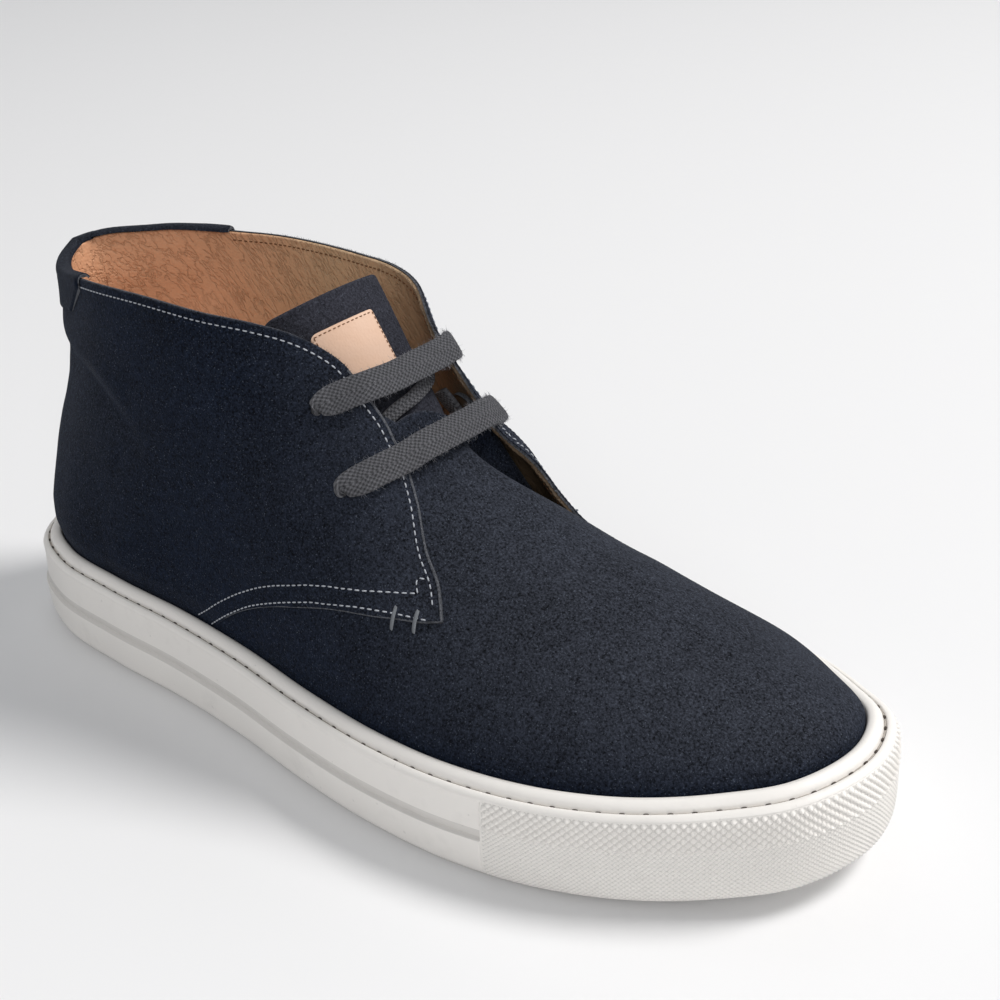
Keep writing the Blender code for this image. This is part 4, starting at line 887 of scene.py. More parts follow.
def finish(name, group, values, bump=(0.5, 0.001), flat=False, **shader_values):
    """A material: one shared group with its own values, under a Principled shader."""
    made = bpy.data.materials.get(name)
    if made:
        return made
    made = bpy.data.materials.new(name)
    made.use_nodes = True
    tree = made.node_tree
    shader = tree.nodes["Principled BSDF"]
    place = node(tree, "ShaderNodeTexCoord").outputs["UV" if flat else "Object"]
    use = tree.nodes.new("ShaderNodeGroup")
    use.node_tree = shared_group(group)
    tree.links.new(place, use.inputs[0])
    for label, value in values.items():
        use.inputs[label].default_value = value
    tree.links.new(use.outputs["Colour"], shader.inputs["Base Color"])
    if "Roughness" in use.outputs:
        tree.links.new(use.outputs["Roughness"], shader.inputs["Roughness"])
    relief = node(tree, "ShaderNodeBump", {"Strength": bump[0], "Distance": bump[1],
                                           "Height": use.outputs["Height"]})
    tree.links.new(relief.outputs["Normal"], shader.inputs["Normal"])
    for label, value in shader_values.items():
        shader.inputs[label.replace("_", " ")].default_value = value
    return made


def dye(name, factor=1.0):
    """A colour of the settings, made darker or paler."""
    colour = getattr(bpy.context.scene.sneaker_colours, name)
    return (*[channel * factor for channel in colour], 1.0)


# Painted light: faces that look up are painted toward the top colour and the rest keep the side colour. This
# holds for the suede, the tongue, the tab and the threads.
def suede(name, side, top, fleck, amount, contrast=1.0, bump=(0.6, 0.0006)):
    return finish(name, "suede_nap", {"Side": side, "Top": top, "Fleck": fleck, "Fleck amount": amount,
                                      "Contrast": contrast},
                  bump=bump, Specular_IOR_Level=0.04, Sheen_Weight=0.06, Sheen_Roughness=0.3,
                  Sheen_Tint=(0.75, 0.82, 1.0, 1.0))


def upper_suede():
    return suede("navy_suede", dye("suede"), dye("suede_lit_top"), dye("fleck"), 0.6, contrast=1.6)


def tab_suede():
    return suede("tab_suede", dye("suede", 0.85), dye("suede_lit_top", 0.8), dye("fleck"), 0.5)


# Painted light: the tongue's sides are painted darker than its faces that look up.
def tongue_suede():
    return suede("charcoal_suede", dye("tongue", 0.6), dye("tongue"), dye("fleck"), 0.5)


def raw_edge():
    return suede("cut_suede_edge", dye("cut_edge"), dye("cut_edge"), dye("cut_edge", 2.2), 0.8,
                 bump=(0.8, 0.0008))


def leather(name, colour, heel, shade, pebble, wrinkles, bump, roughness):
    return finish(name, "leather_grain", {"Colour": colour, "Heel colour": heel,
                                          "Shade": (shade, shade * 0.93, shade * 0.86, 1.0), "Pebble": pebble,
                                          "Wrinkles": wrinkles},
                  bump=bump, Roughness=roughness, Specular_IOR_Level=0.3)


# The lining gets strong painted shade toward the front and in its creases. The patch gets very little.
def lining_leather():
    return leather("lining_leather", dye("lining"), dye("heel_lining"), 0.6, 1100.0, 0.9, (0.6, 0.0006), 0.6)


def patch_leather():
    return leather("tanned_patch", dye("patch"), dye("patch"), 0.94, 1500.0, 0.1, (0.25, 0.0004), 0.5)


def rubber(name, strength, dirt, amount, shine):
    return finish(name, "handling_marks",
                  {"Colour": dye("rubber", strength), "Dirt": dye("rubber", dirt), "Amount": amount},
                  bump=(0.12, 0.0004), Specular_IOR_Level=shine)


def sole_rubber():
    return rubber("off_white_rubber", 1.0, 0.55, 0.35, 0.4)


# Darker rubber: painted shade in the toe band's valleys, and the grey of the wall's step line.
def shaded_rubber():
    return rubber("worn_rubber", 0.8, 0.5, 0.3, 0.3)


def lace_cotton():
    # The gap colour is painted shade between the yarns, a fifth as bright as the lace.
    return finish("braided_cotton", "braid",
                  {"Colour": dye("lace"), "Gap": dye("lace", 0.2), "Yarns": LACE_YARN},
                  flat=True, bump=(1.0, 0.0012), Roughness=0.95, Specular_IOR_Level=0.1)


def thread(name, colour):
    """Thread of one of the settings' colours."""
    return suede(name, dye(colour, 0.9), dye(colour), dye(colour, 1.3), 0.3, contrast=0.25,
                 bump=(0.4, 0.0003))


# --- Upper --------------------------------------------------------------------------
def quarter_mesh(side, rows, short=0.0):
    """The quarter's u and t, columns by rows, and the distance of each point from its free edges."""
    foot_u, foot_t, top_u, top_t = quarter_columns(side, REAR_COLUMNS, FRONT_COLUMNS)
    tall = np.linalg.norm(last(side, top_u, top_t) - last(side, foot_u, foot_t), axis=-1)
    share = clustered(rows) * (1.0 - short / np.maximum(tall, 2.0))[:, None]
    u = foot_u[:, None] + (top_u - foot_u)[:, None] * share
    t = foot_t[:, None] + (top_t - foot_t)[:, None] * share
    at = suede_face(side, u, t)
    step = np.linalg.norm(np.diff(at, axis=1), axis=-1)
    from_top = np.concatenate([np.cumsum(step[:, ::-1], axis=1)[:, ::-1], np.zeros((len(u), 1))], axis=1)
    from_foot = np.concatenate([np.zeros((len(u), 1)), np.cumsum(step, axis=1)], axis=1)
    free = rising(foot_t, 0.01, 0.05)[:, None]
    return u, t, at, from_top, from_foot + (1.0 - free) * 50.0


def meet_at_heel(faces):
    """Bend the first columns of the two sides into one smooth curve round the heel."""
    reach, lead = HEEL_BEND
    left, right = faces[LATERAL], faces[MEDIAL]
    first, second = left[reach].copy(), right[reach].copy()
    span = np.linalg.norm(left[reach] - right[reach], axis=-1, keepdims=True)
    leave, arrive = left[reach] - left[reach + 1], right[reach + 1] - right[reach]
    leave *= lead * span / np.linalg.norm(leave, axis=-1, keepdims=True)
    arrive *= lead * span / np.linalg.norm(arrive, axis=-1, keepdims=True)
    for k in range(2 * reach + 1):
        s = k / (2 * reach)
        bent = ((2 * s**3 - 3 * s**2 + 1) * first + (s**3 - 2 * s**2 + s) * leave +
                (3 * s**2 - 2 * s**3) * second + (s**3 - s**2) * arrive)
        if k <= reach:
            left[reach - k] = bent
        if k >= reach:
            right[k - reach] = bent


def cut_edge(shell, side, u, t, column, depths, kind=0):
    """The edge along the first or the last column of a quarter, through the given depths of its wall."""
    strip = suede_face(side, u[:, column][None], t[:, column][None], depths)
    shell.grid(strip.transpose(1, 0, 2), flip=(side == MEDIAL) != (column == -1), kind=kind)


def flat_places(at):
    """Flat places in millimetres for a face seen from the side."""
    return at[..., (0, 2)]


class SNEAKER_OT_quarters(bpy.types.Operator):
    """Both suede quarters, with their cut edges"""
    bl_idname = "sneaker.quarters"
    bl_label = "Quarters"

    def execute(self, context):
        shell = Shell()
        draw = np.random.default_rng(3)
        forms = {side: quarter_mesh(side, QUARTER_ROWS) for side in (LATERAL, MEDIAL)}
        falls, frayed = {}, {}
        start, over, place, width, high = FACING_SWELL
        for side, (u, t, at, from_top, from_foot) in forms.items():
            run = at[..., 0] - at[..., 2]
            in_front = rising(at[..., 0], start, over) * (side == LATERAL)
            swell = np.exp(-((from_top - place) / width)**2) * in_front
            swell *= high + 0.08 * np.sin(run * 2.1) + 0.05 * np.sin(run * 5.3)
            falls[side] = (rounded(np.minimum(from_top, from_foot), EDGE_ROUND) - swell) / sum(QUARTER_WALL)
            frayed[side] = ((from_top < RAW_WIDTH[0]) & (in_front > 0.0)) | (from_foot < RAW_WIDTH[1])
        faces = {side: suede_face(side, form[0], form[1], falls[side]) for side, form in forms.items()}
        meet_at_heel(faces)
        for side, (u, t, at, from_top, from_foot) in forms.items():
            fall, face = falls[side], faces[side]
            shell.grid(face, flat_places(at), flip=side == MEDIAL)
            shell.kinds[-1] = frayed[side][:-1, :-1].reshape(-1).astype(int)
            for column in (-1, 0):
                deeper = np.linspace(0.0, 1.0, 5)[:, None]
                cut_edge(shell, side, u, t, column,
                         fall[:, column] + (SUEDE_SHARE - fall[:, column]) * deeper, kind=1)
            way = face[:, -1] - face[:, -12]
            tall = np.linalg.norm(way, axis=-1)
            pick = draw.choice(np.flatnonzero((at[:, -1, 0] > TAB_COVER) & (tall > 0.2)), EDGE_HAIRS)
            hairs(shell, face[pick, -2], way[pick] / tall[pick, None], *EDGE_FIBRE, draw, 1)
            rim = suede_face(side, u[:REAR_COLUMNS, 0], 0.0)
            under = skin(side, u[:REAR_COLUMNS, 0], QUARTER_FOOT, -RIM_SINK)
            shell.grid(np.stack([under, rim], 1), flip=side == MEDIAL)
        quarters = shell.build("quarters", [upper_suede(), raw_edge()])
        dress(quarters, "upper_suede", "upper")
        return {"FINISHED"}


class SNEAKER_OT_lining(bpy.types.Operator):
    """Leather lining of the quarters"""
    bl_idname = "sneaker.lining"
    bl_label = "Lining"

    def execute(self, context):
        shell = Shell()
        forms = {side: quarter_mesh(side, LINING_ROWS, LINING_SHORT[side]) for side in (LATERAL, MEDIAL)}
        faces, falls = {}, {}
        for side, (u, t, at, from_top, from_foot) in forms.items():
            run = at[..., 0] - at[..., 2]
            waves = (0.07 * np.sin(run * 0.55) + 0.04 * np.sin(run * 2.9)) * np.exp(-from_top / 3.0)
            edge = rounded(np.minimum(from_top, from_foot), LINING_ROUND) / sum(QUARTER_WALL)
            falls[side] = 1.0 - edge + waves * (at[..., 0] > TAB_COVER)
            faces[side] = suede_face(side, u, t, falls[side])
        meet_at_heel(faces)
        for side, (u, t, at, from_top, from_foot) in forms.items():
            fall, face = falls[side], faces[side]
            shell.grid(face, flat_places(at), flip=side == LATERAL)
            deeper = np.linspace(SUEDE_SHARE, 1.0, 5)[:, None]
            for column in (-1, 0):
                cut_edge(shell, side, u, t, column, np.minimum(deeper, fall[:, column]))
        lining = shell.build("lining", [lining_leather()])
        dress(lining, "upper_suede", "upper")
        return {"FINISHED"}


def vamp_face(side, u, t, depth=0.0):
    """Point of the vamp below its outer face by a depth in millimetres."""
    u, t = np.broadcast_arrays(np.asarray(u, float), np.asarray(t, float))
    at = last(side, u, np.maximum(t, 0.0))
    folds = np.zeros(u.shape)
    for width, amount, line in VAMP_CREASES:
        folds += polyline_effect(at[..., 0], at[..., 1], width, amount, line)
    sunk = vamp_dip(u, t) if side == MEDIAL else np.zeros(u.shape)
    return skin(side, u, t, folds * np.clip(t / 0.1, 0.0, 1.0) - sunk - depth)


def vamp_dip(u, t):
    """How far the vamp sinks under the inner facing."""
    place_u, place_t, reach_u, reach_t, depth = VAMP_DIP
    return depth * np.exp(-((u - place_u) / reach_u)**2 - ((t - place_t) / reach_t)**2)


class SNEAKER_OT_vamp(bpy.types.Operator):
    """Vamp, from the arch to the toe, with its lining"""
    bl_idname = "sneaker.vamp"
    bl_label = "Vamp"

    def execute(self, context):
        shell = Shell()
        rear, throat = VAMP_TOP[0][0], VAMP_TOP[-1][0]
        rear_columns, toe_columns, rows = VAMP_GRID
        u = np.unique(np.concatenate([np.linspace(rear, throat, rear_columns),
                                      np.linspace(throat, 1.0, toe_columns)]))
        share = np.linspace(0.0, 1.0, rows)**0.9
        for side in (LATERAL, MEDIAL):
            top = np.interp(u, *zip(*(VAMP_TOP if side == LATERAL else INNER_VAMP_TOP)))
            t = np.concatenate([np.full((len(u), 1), VAMP_FOOT), top[:, None] * share], axis=1)
            columns = np.broadcast_to(u[:, None], t.shape)
            cut = top < 0.9999
            face = vamp_face(side, columns, t)
            inside = vamp_face(side, columns, t, VAMP_WALL)
            tip = (rising(t, *VAMP_TIP[1]) * rising(columns, *VAMP_TIP[0]))[..., None]
            inside += (face - np.array([0.0, 0.0, VAMP_WALL]) - inside) * tip
            shell.grid(face, flat_places(face), flip=side == MEDIAL)
            shell.grid(inside[:, ::3], flip=side == LATERAL, kind=2)
            edge = np.stack([face[cut, -1], (face[cut, -1] + inside[cut, -1]) / 2, inside[cut, -1]], 1)
            shell.grid(edge, flip=side == MEDIAL, kind=1)
        vamp = shell.build("vamp", [upper_suede(), raw_edge(), lining_leather()])
        dress(vamp, "upper_suede", "upper")
        return {"FINISHED"}


# --- Stitching ----------------------------------------------------------------------
def on_face(side, places):
    """The last's own places of a smooth line given in side view."""
    return locate(side, spaced(places, 300))


def edge_line(side, rear):
    """The quarter's top edge from a distance from the heel to its front corner."""
    u, t = quarter_columns(side, REAR_COLUMNS, FRONT_COLUMNS)[2:]
    ahead = last(side, u, t)[:, 0] > rear
    return u[ahead], t[ahead]


def inset_line(side, u, t, inset):
    """Places on the suede beside a line, inset downward or toward the heel."""
    for _ in range(2):
        points = suede_face(side, u, t)
        ahead = np.gradient(points, axis=0)
        padded = np.pad(ahead, ((ROW_SMOOTH, ROW_SMOOTH), (0, 0)), "edge")
        ahead = np.mean([padded[k:k + len(ahead)] for k in range(2 * ROW_SMOOTH + 1)], axis=0)
        inward = np.cross(face_normal(suede_face, side, u, t), ahead) * side
        inward *= (inset / 2) / np.linalg.norm(inward, axis=-1, keepdims=True)
        step = 1e-3
        by_u, by_t = (slope / (2 * step) for slope in slopes(suede_face, side, u, t, step))
        uu, ut, tt = (by_u**2).sum(-1), (by_u * by_t).sum(-1), (by_t**2).sum(-1)
        u_way, t_way = (by_u * inward).sum(-1), (by_t * inward).sum(-1)
        area = uu * tt - ut**2
        u = u + (u_way * tt - t_way * ut) / area
        t = t + (t_way * uu - u_way * ut) / area
    return u, t


def row_on_face(shell, side, u, t, depth=0.0, size=STITCH, facing=1.0, **settings):
    """A row of stitches on the suede, or on the lining at depth 1."""
    points = suede_face(side, u, t, depth)
    normals = face_normal(suede_face, side, u, t) * facing
    threads(shell, points, normals, *size, **settings)


class SNEAKER_OT_stitching(bpy.types.Operator):
    """Rows of pale stitches on the quarters, and the bar tacks"""
    bl_idname = "sneaker.stitching"
    bl_label = "Stitching"

    def execute(self, context):
        shell, inner = Shell(), Shell()
        for side in (LATERAL, MEDIAL):
            u, t = inset_line(side, *edge_line(side, TOP_ROW_START[side]), EDGE_TO_STITCH)
            keep = last(side, u, t)[:, 2] > TOP_ROW_END
            row_on_face(shell, side, u[keep], t[keep])
            rows = [spaced(line, 300).T for line in (LOWER_ROW, SECOND_ROW)]
            if side == MEDIAL:
                rows = [inset_line(side, *on_face(side, LOWER_EDGE), -inset) for inset in INNER_ROWS]
            for u, t in rows:
                keep = t > 0.005
                row_on_face(shell, side, u[keep], t[keep])
            row_on_face(shell, side, *spaced(ROW_STEP, 100).T)
            seam = inset_line(side, *edge_line(side, LINING_SEAM), LINING_INSET)
            row_on_face(inner, side, *seam, depth=1.0, facing=-1.0)
            if side == LATERAL:
                u, t = inset_line(side, *edge_line(side, TOP_ROW_START[side]), 0.9)
                for start in KNOT:
                    row_on_face(shell, side, u[:14], t[:14], size=KNOT_TURN, start=start)
        stitches = shell.build("stitching", [thread("pale_thread", "thread")], weld=0)
        dress(stitches, "upper_suede")
        inside = inner.build("lining_stitching", [thread("brown_thread", "brown_thread")], weld=0)
        dress(inside, "upper_suede")
        tacks = Shell()
        for side in (LATERAL, MEDIAL):
            for line in TACKS:
                u, t = spaced(line, 60).T
                for across in (-1.0, -0.3, 0.3, 1.0):
                    row_on_face(tacks, side, u + across * 0.0012, t, size=TACK_THREAD, bow=0.5,
                                lift=0.75 - 0.3 * abs(across))
        bars = tacks.build("bar_tacks", [thread("grey_thread", "tack")])
        dress(bars, "upper_suede")
        return {"FINISHED"}


# --- Sole ---------------------------------------------------------------------------
def sole_ring(side, u, inset, share, plus):
    foot = outline(place_round(side, u), inset)
    lift = height("lift", foot[..., 0])
    rim = height("rim", foot[..., 0])
    return np.concatenate([foot, (lift + share * (rim - lift) + plus)[..., None]], -1)


def waist(x):
    """Depth of the tread's hollow under the arch."""
    start, end, depth = WAIST
    return depth * np.clip((x - start) / 6.0, 0.0, 1.0) * np.clip((end - x) / 6.0, 0.0, 1.0)


def finer(rows, times):
    """Rows of a profile with straight steps between them."""
    rows = np.asarray(rows, float)
    keys = np.arange(len(rows))
    at = np.linspace(0.0, len(rows) - 1, (len(rows) - 1) * times + 1)
    return np.stack([np.interp(at, keys, rows[:, k]) for k in range(rows.shape[1])], -1)


def band_share():
    return float(np.interp(BAND_START, [row[0] for row in SECTIONS], SECTION_KEYS))


class SNEAKER_OT_cupsole(bpy.types.Operator):
    """Cupsole: tread, wall with its step, stitch groove and rounded rim"""
    bl_idname = "sneaker.cupsole"
    bl_label = "Cupsole"

    def execute(self, context):
        shell = Shell()
        band = band_share()
        u = np.sort(np.concatenate([np.linspace(0.0, 1.0, 300), [band - BAND_SPLIT, band + BAND_SPLIT]]))
        rows = finer(SOLE_SIDE, 2)
        for side in (LATERAL, MEDIAL):
            inset = np.where(u[:, None] > band, rows[:, 1], rows[:, 0])
            wall = sole_ring(side, u[:, None], inset, rows[:, 2], rows[:, 3])
            wall[:, 0, 2] += waist(wall[:, 0, 0])
            shell.grid(wall, flat_places(wall), flip=side == MEDIAL)
            # Faces at the wall's step, behind the toe band, take the darker rubber.
            line = (rows[:-1, 2] >= WALL_LINE[0]) & (rows[:-1, 2] < WALL_LINE[1])
            shell.kinds[-1] = (line[None] & (u[:-1, None] < band)).reshape(-1).astype(int)
        for inset, level, flip in ((SOLE_SIDE[0][0], "tread", True), (CUP_INSET, "floor", False)):
            left, right = (sole_ring(side, u, inset, 0.0, 0.0) for side in (LATERAL, MEDIAL))
            across = np.linspace(0.0, 1.0, 12)[None, :, None]
            flat = left[:, None] + (right - left)[:, None] * across
            x = flat[..., 0]
            flat[..., 2] = height("lift", x) + waist(x) if level == "tread" else height(level, x)
            shell.grid(flat, flip=flip)
        sole = shell.build("cupsole_body", [sole_rubber(), shaded_rubber()])
        dress(sole, "cupsole_rubber", "cupsole")
        return {"FINISHED"}


def knurl(along, up, from_top):
    """The toe band's round studs, coarse above and fine below: their height, and 0 to 1 up each stud."""
    def studs(pitch_along, pitch_up):
        p, q = along / pitch_along, up / pitch_up
        return (0.5 + 0.5 * np.cos(2.0 * math.pi * (p + q))) * (0.5 + 0.5 * np.cos(2.0 * math.pi * (p - q)))
    coarse, fine = studs(KNURL[0], KNURL[1])**0.6, studs(FINE_KNURL[0], FINE_KNURL[1])**0.6
    upper = from_top < KNURL[3]
    return np.where(upper, coarse * KNURL[2], fine * FINE_KNURL[2]), np.where(upper, coarse, fine)


class SNEAKER_OT_toe_band(bpy.types.Operator):
    """Knurled band round the toe"""
    bl_idname = "sneaker.toe_band"
    bl_label = "Toe band"

    def execute(self, context):
        band = band_share()
        begin = float(place_round(LATERAL, band))
        finish_at = float(place_round(MEDIAL, band))
        along = np.arange(begin, finish_at, KNURL[0] / 8.0)
        rows = finer(BAND_SIDE, 16)
        foot = outline(along[:, None], np.broadcast_to(rows[:, 0], (len(along), len(rows))))
        lift, rim = height("lift", foot[..., 0]), height("rim", foot[..., 0])
        up = lift + rows[:, 1] * (rim - lift) + rows[:, 2]
        level = (up - up[:, :1]) / (up[:, -1:] - up[:, :1])
        even = np.linspace(0.0, 1.0, 94)
        inset = np.stack([np.interp(even, level[k], rows[:, 0]) for k in range(len(along))])
        heights = up[:, :1] + (up[:, -1:] - up[:, :1]) * even
        measured = even * BAND_TALL
        edge = np.minimum(np.minimum(even, 1.0 - even) * BAND_PLAIN[0], 1.0)
        ends = rising(np.minimum(along - begin, finish_at - along), 0.0, BAND_PLAIN[1])[:, None]
        raised, stud = knurl(along[:, None] - begin, measured[None], (1.0 - even)[None] * BAND_TALL)
        face = outline(along[:, None], inset - raised * edge[None] * ends)
        points = np.concatenate([face, heights[..., None]], -1)
        shell = Shell()
        shell.grid(points, np.stack([np.broadcast_to(along[:, None], heights.shape), heights], -1))
        # Painted shade: the valleys between the studs take the darker rubber.
        painted_valley_shade = (edge[None] * ends > 0.5) & (stud < KNURL_VALLEY)
        shell.kinds[-1] = painted_valley_shade[:-1, :-1].reshape(-1).astype(int)
        for column, flip in ((0, True), (-1, False)):
            inner = outline(np.full(len(even), along[column]), inset[column] + BAND_DEPTH)
            inner = np.concatenate([inner, heights[column][:, None]], -1)
            shell.grid(np.stack([points[column], inner], 0), flip=flip)
        for row, flip in ((0, False), (-1, True)):
            inner = points[:, row].copy()
            inner[:, :2] = outline(along, inset[:, row] + BAND_DEPTH)
            shell.grid(np.stack([points[:, row], inner], 1), flip=flip)
        toe = shell.build("toe_band", [sole_rubber(), shaded_rubber()], sharp=1.2)
        dress(toe, "cupsole_rubber", "cupsole")
        return {"FINISHED"}


class SNEAKER_OT_sole_stitching(bpy.types.Operator):
    """Stitches in the sole's groove, with painted shade where the needle holes are"""
    bl_idname = "sneaker.sole_stitching"
    bl_label = "Sole stitching"

    def execute(self, context):
        shell = Shell()
        pitch, gap, radius = THROUGH_SOLE
        whole = round(PERIMETER / pitch)
        pitch = PERIMETER / whole
        along = np.linspace(0.0, PERIMETER * 1.02, 1600)
        foot = outline(along, GROOVE[0])
        path = np.concatenate([foot, (height("rim", foot[:, 0]) + GROOVE[1])[:, None]], -1)
        normals = np.broadcast_to(np.array([0.0, 0.0, 1.0]), path.shape)
        threads(shell, path, normals, pitch, pitch - gap, radius, kind=0, start=gap, bow=0.3)
        # Painted shade: short dark tubes between the stitches stand for the shade inside the needle holes.
        threads(shell, path, normals, pitch, gap * 1.1, radius * 1.25, kind=1, lift=0.7, bow=0.1)
        colours = [thread("sole_thread", "sole_thread"), thread("needle_hole", "needle_hole")]
        row = shell.build("sole_stitching", colours, weld=0)
        dress(row, "cupsole_rubber")
        return {"FINISHED"}


class SNEAKER_OT_insole(bpy.types.Operator):
    """Insole with a soft rounded edge and a heel cup"""
    bl_idname = "sneaker.insole"
    bl_label = "Insole"

    def execute(self, context):
        u = np.linspace(0.0, 1.0, 120)
        inset = SUEDE_INSET + VAMP_WALL + 2 * GAP
        shell = Shell()
        left, right = (outline(place_round(side, u), inset) for side in (LATERAL, MEDIAL))
        across = clustered(40)
        flat = left[:, None] + (right - left)[:, None] * across[None, :, None]
        base = height("floor", flat[..., 0]) + GAP
        side_gap = np.minimum(np.minimum(np.linalg.norm(flat - left[:, None], axis=-1),
                                         np.linalg.norm(flat - right[:, None], axis=-1)), 60.0)
        place, spread, deep, margin = HEEL_DISH
        dish = deep * np.exp(-((flat[..., 0] - place) / spread)**2) * rising(side_gap, 0.0, margin)
        level = base + INSOLE_THICKNESS - rounded(side_gap, INSOLE_ROUND) - dish
        shell.grid(np.concatenate([flat, level[..., None]], -1), flat, flip=False)
        for edge, column, flip in ((left, 0, True), (right, -1, False)):
            low = np.concatenate([edge, base[:, column][:, None]], -1)
            high = np.concatenate([edge, level[:, column][:, None]], -1)
            shell.grid(np.stack([low, high], 1), flip=not flip)
        insole = shell.build("insole_sheet", [lining_leather()])
        dress(insole, "insole_leather", "insole")
        return {"FINISHED"}


# --- Tongue and patch ---------------------------------------------------------------
def tongue_point(along, across, depth):
    """Point of the tongue: along from foot to top, across from side to side in -1 to 1."""
    along, across, depth = np.broadcast_arrays(*(np.asarray(a, float) for a in (along, across, depth)))
    rows = np.array(TONGUE)
    keys = np.linspace(0.0, 1.0, len(rows))
    value = smooth(keys, rows, along)
    way = smooth(keys, rows[:, (0, 2)], along + 0.01) - smooth(keys, rows[:, (0, 2)], along - 0.01)
    way = unit(way)
    radius = value[..., 3] - depth
    reach = np.where(across < 0.0, value[..., 4], value[..., 5])
    angle = across * np.arcsin(np.clip(reach / value[..., 3], 0.0, 0.99))
    drop = value[..., 3] - radius * np.cos(angle)
    return np.stack([value[..., 0] - way[..., 1] * drop, value[..., 1] + radius * np.sin(angle),
                     value[..., 2] + way[..., 0] * drop], -1)


def slab(shell, along, across, outer, inner, edge, corner, kinds=(0, 1, 2)):
    """A sheet on the tongue with a face, a back, rounded top corners and a rounded cut edge."""
    a, b = np.meshgrid(along, across, indexing="ij")
    length = np.linalg.norm(tongue_point(1.0, 0.0, 0.0) - tongue_point(0.0, 0.0, 0.0)) * 1.02
    wide = TONGUE_SCALE
    middle = (across[0] + across[-1]) / 2
    half = (across[-1] - across[0]) / 2 * wide
    into = np.clip(1.0 - (along[-1] - a) * length / corner, 0.0, 1.0)
    b = middle + (b - middle) * (1.0 - (corner / half) * (1.0 - np.sqrt(1.0 - into**2)))
    from_ends = np.minimum(a - along[0], along[-1] - a) * length
    from_sides = np.minimum(b - across[0], across[-1] - b) * wide
    fall = rounded(np.minimum(from_ends, from_sides), edge)
    face = tongue_point(a, b, outer + fall)
    back = tongue_point(a, b, inner - fall * 0.5)
    flat = np.stack([a * length, b * wide], -1)
    shell.grid(face, flat, flip=True, kind=kinds[0])
    shell.grid(back, flat, flip=False, kind=kinds[2])
    for front_row, back_row, flip in ((face[0], back[0], False), (face[-1], back[-1], True),
                                      (face[:, 0], back[:, 0], True), (face[:, -1], back[:, -1], False)):
        shell.grid(np.stack([front_row, (front_row + back_row) / 2, back_row], 0), flip=flip, kind=kinds[1])


class SNEAKER_OT_tongue(bpy.types.Operator):
    """Tongue: suede over a leather back"""
    bl_idname = "sneaker.tongue"
    bl_label = "Tongue"

    def execute(self, context):
        shell = Shell()
        slab(shell, clustered(110), clustered(80) * 2.0 - 1.0, 0.0, TONGUE_THICKNESS, edge=0.9, corner=4.0)
        tongue = shell.build("tongue_suede", [tongue_suede(), tongue_suede(), lining_leather()])
        dress(tongue, "tongue_suede", "tongue")
        return {"FINISHED"}


class SNEAKER_OT_patch(bpy.types.Operator):
    """Blank leather patch and its stitches"""
    bl_idname = "sneaker.patch"
    bl_label = "Tongue patch"

    def execute(self, context):
        low, high, left, right = PATCH
        shell = Shell()
        slab(shell, low + (high - low) * clustered(60), left + (right - left) * clustered(60),
             -GAP - PATCH_THICKNESS, 0.0, edge=0.5, corner=2.2, kinds=(0, 0, 0))
        patch = shell.build("patch", [patch_leather()])
        dress(patch, "patch_leather", "tongue_patch")
        rows = Shell()
        inset_along, inset_across = PATCH_SEAM
        corners = ((low, left + inset_across), (high - inset_along, left + inset_across),
                   (high - inset_along, right - inset_across), (low, right - inset_across))
        for (a0, b0), (a1, b1) in zip(corners, corners[1:]):
            share = np.linspace(0.0, 1.0, 60)
            a, b = a0 + (a1 - a0) * share, b0 + (b1 - b0) * share
            points = tongue_point(a, b, -GAP - PATCH_THICKNESS)
            normals = unit(tongue_point(a, b, -3.0) - points)
            threads(rows, points, normals, *PATCH_STITCH)
        stitches = rows.build("patch_stitching", [thread("brown_thread", "brown_thread")], weld=0)
        dress(stitches, "patch_leather")
        return {"FINISHED"}


# --- Heel tab -----------------------------------------------------------------------
def tab_point(side, u, top, rate, away, up):
    """Point beside or above the quarter's top edge."""
    drawn = pinch(side, u, top + np.minimum(up, 0.0) * rate)
    return skin(side, u, top + up * rate, away + flare(side, u, top) - drawn)


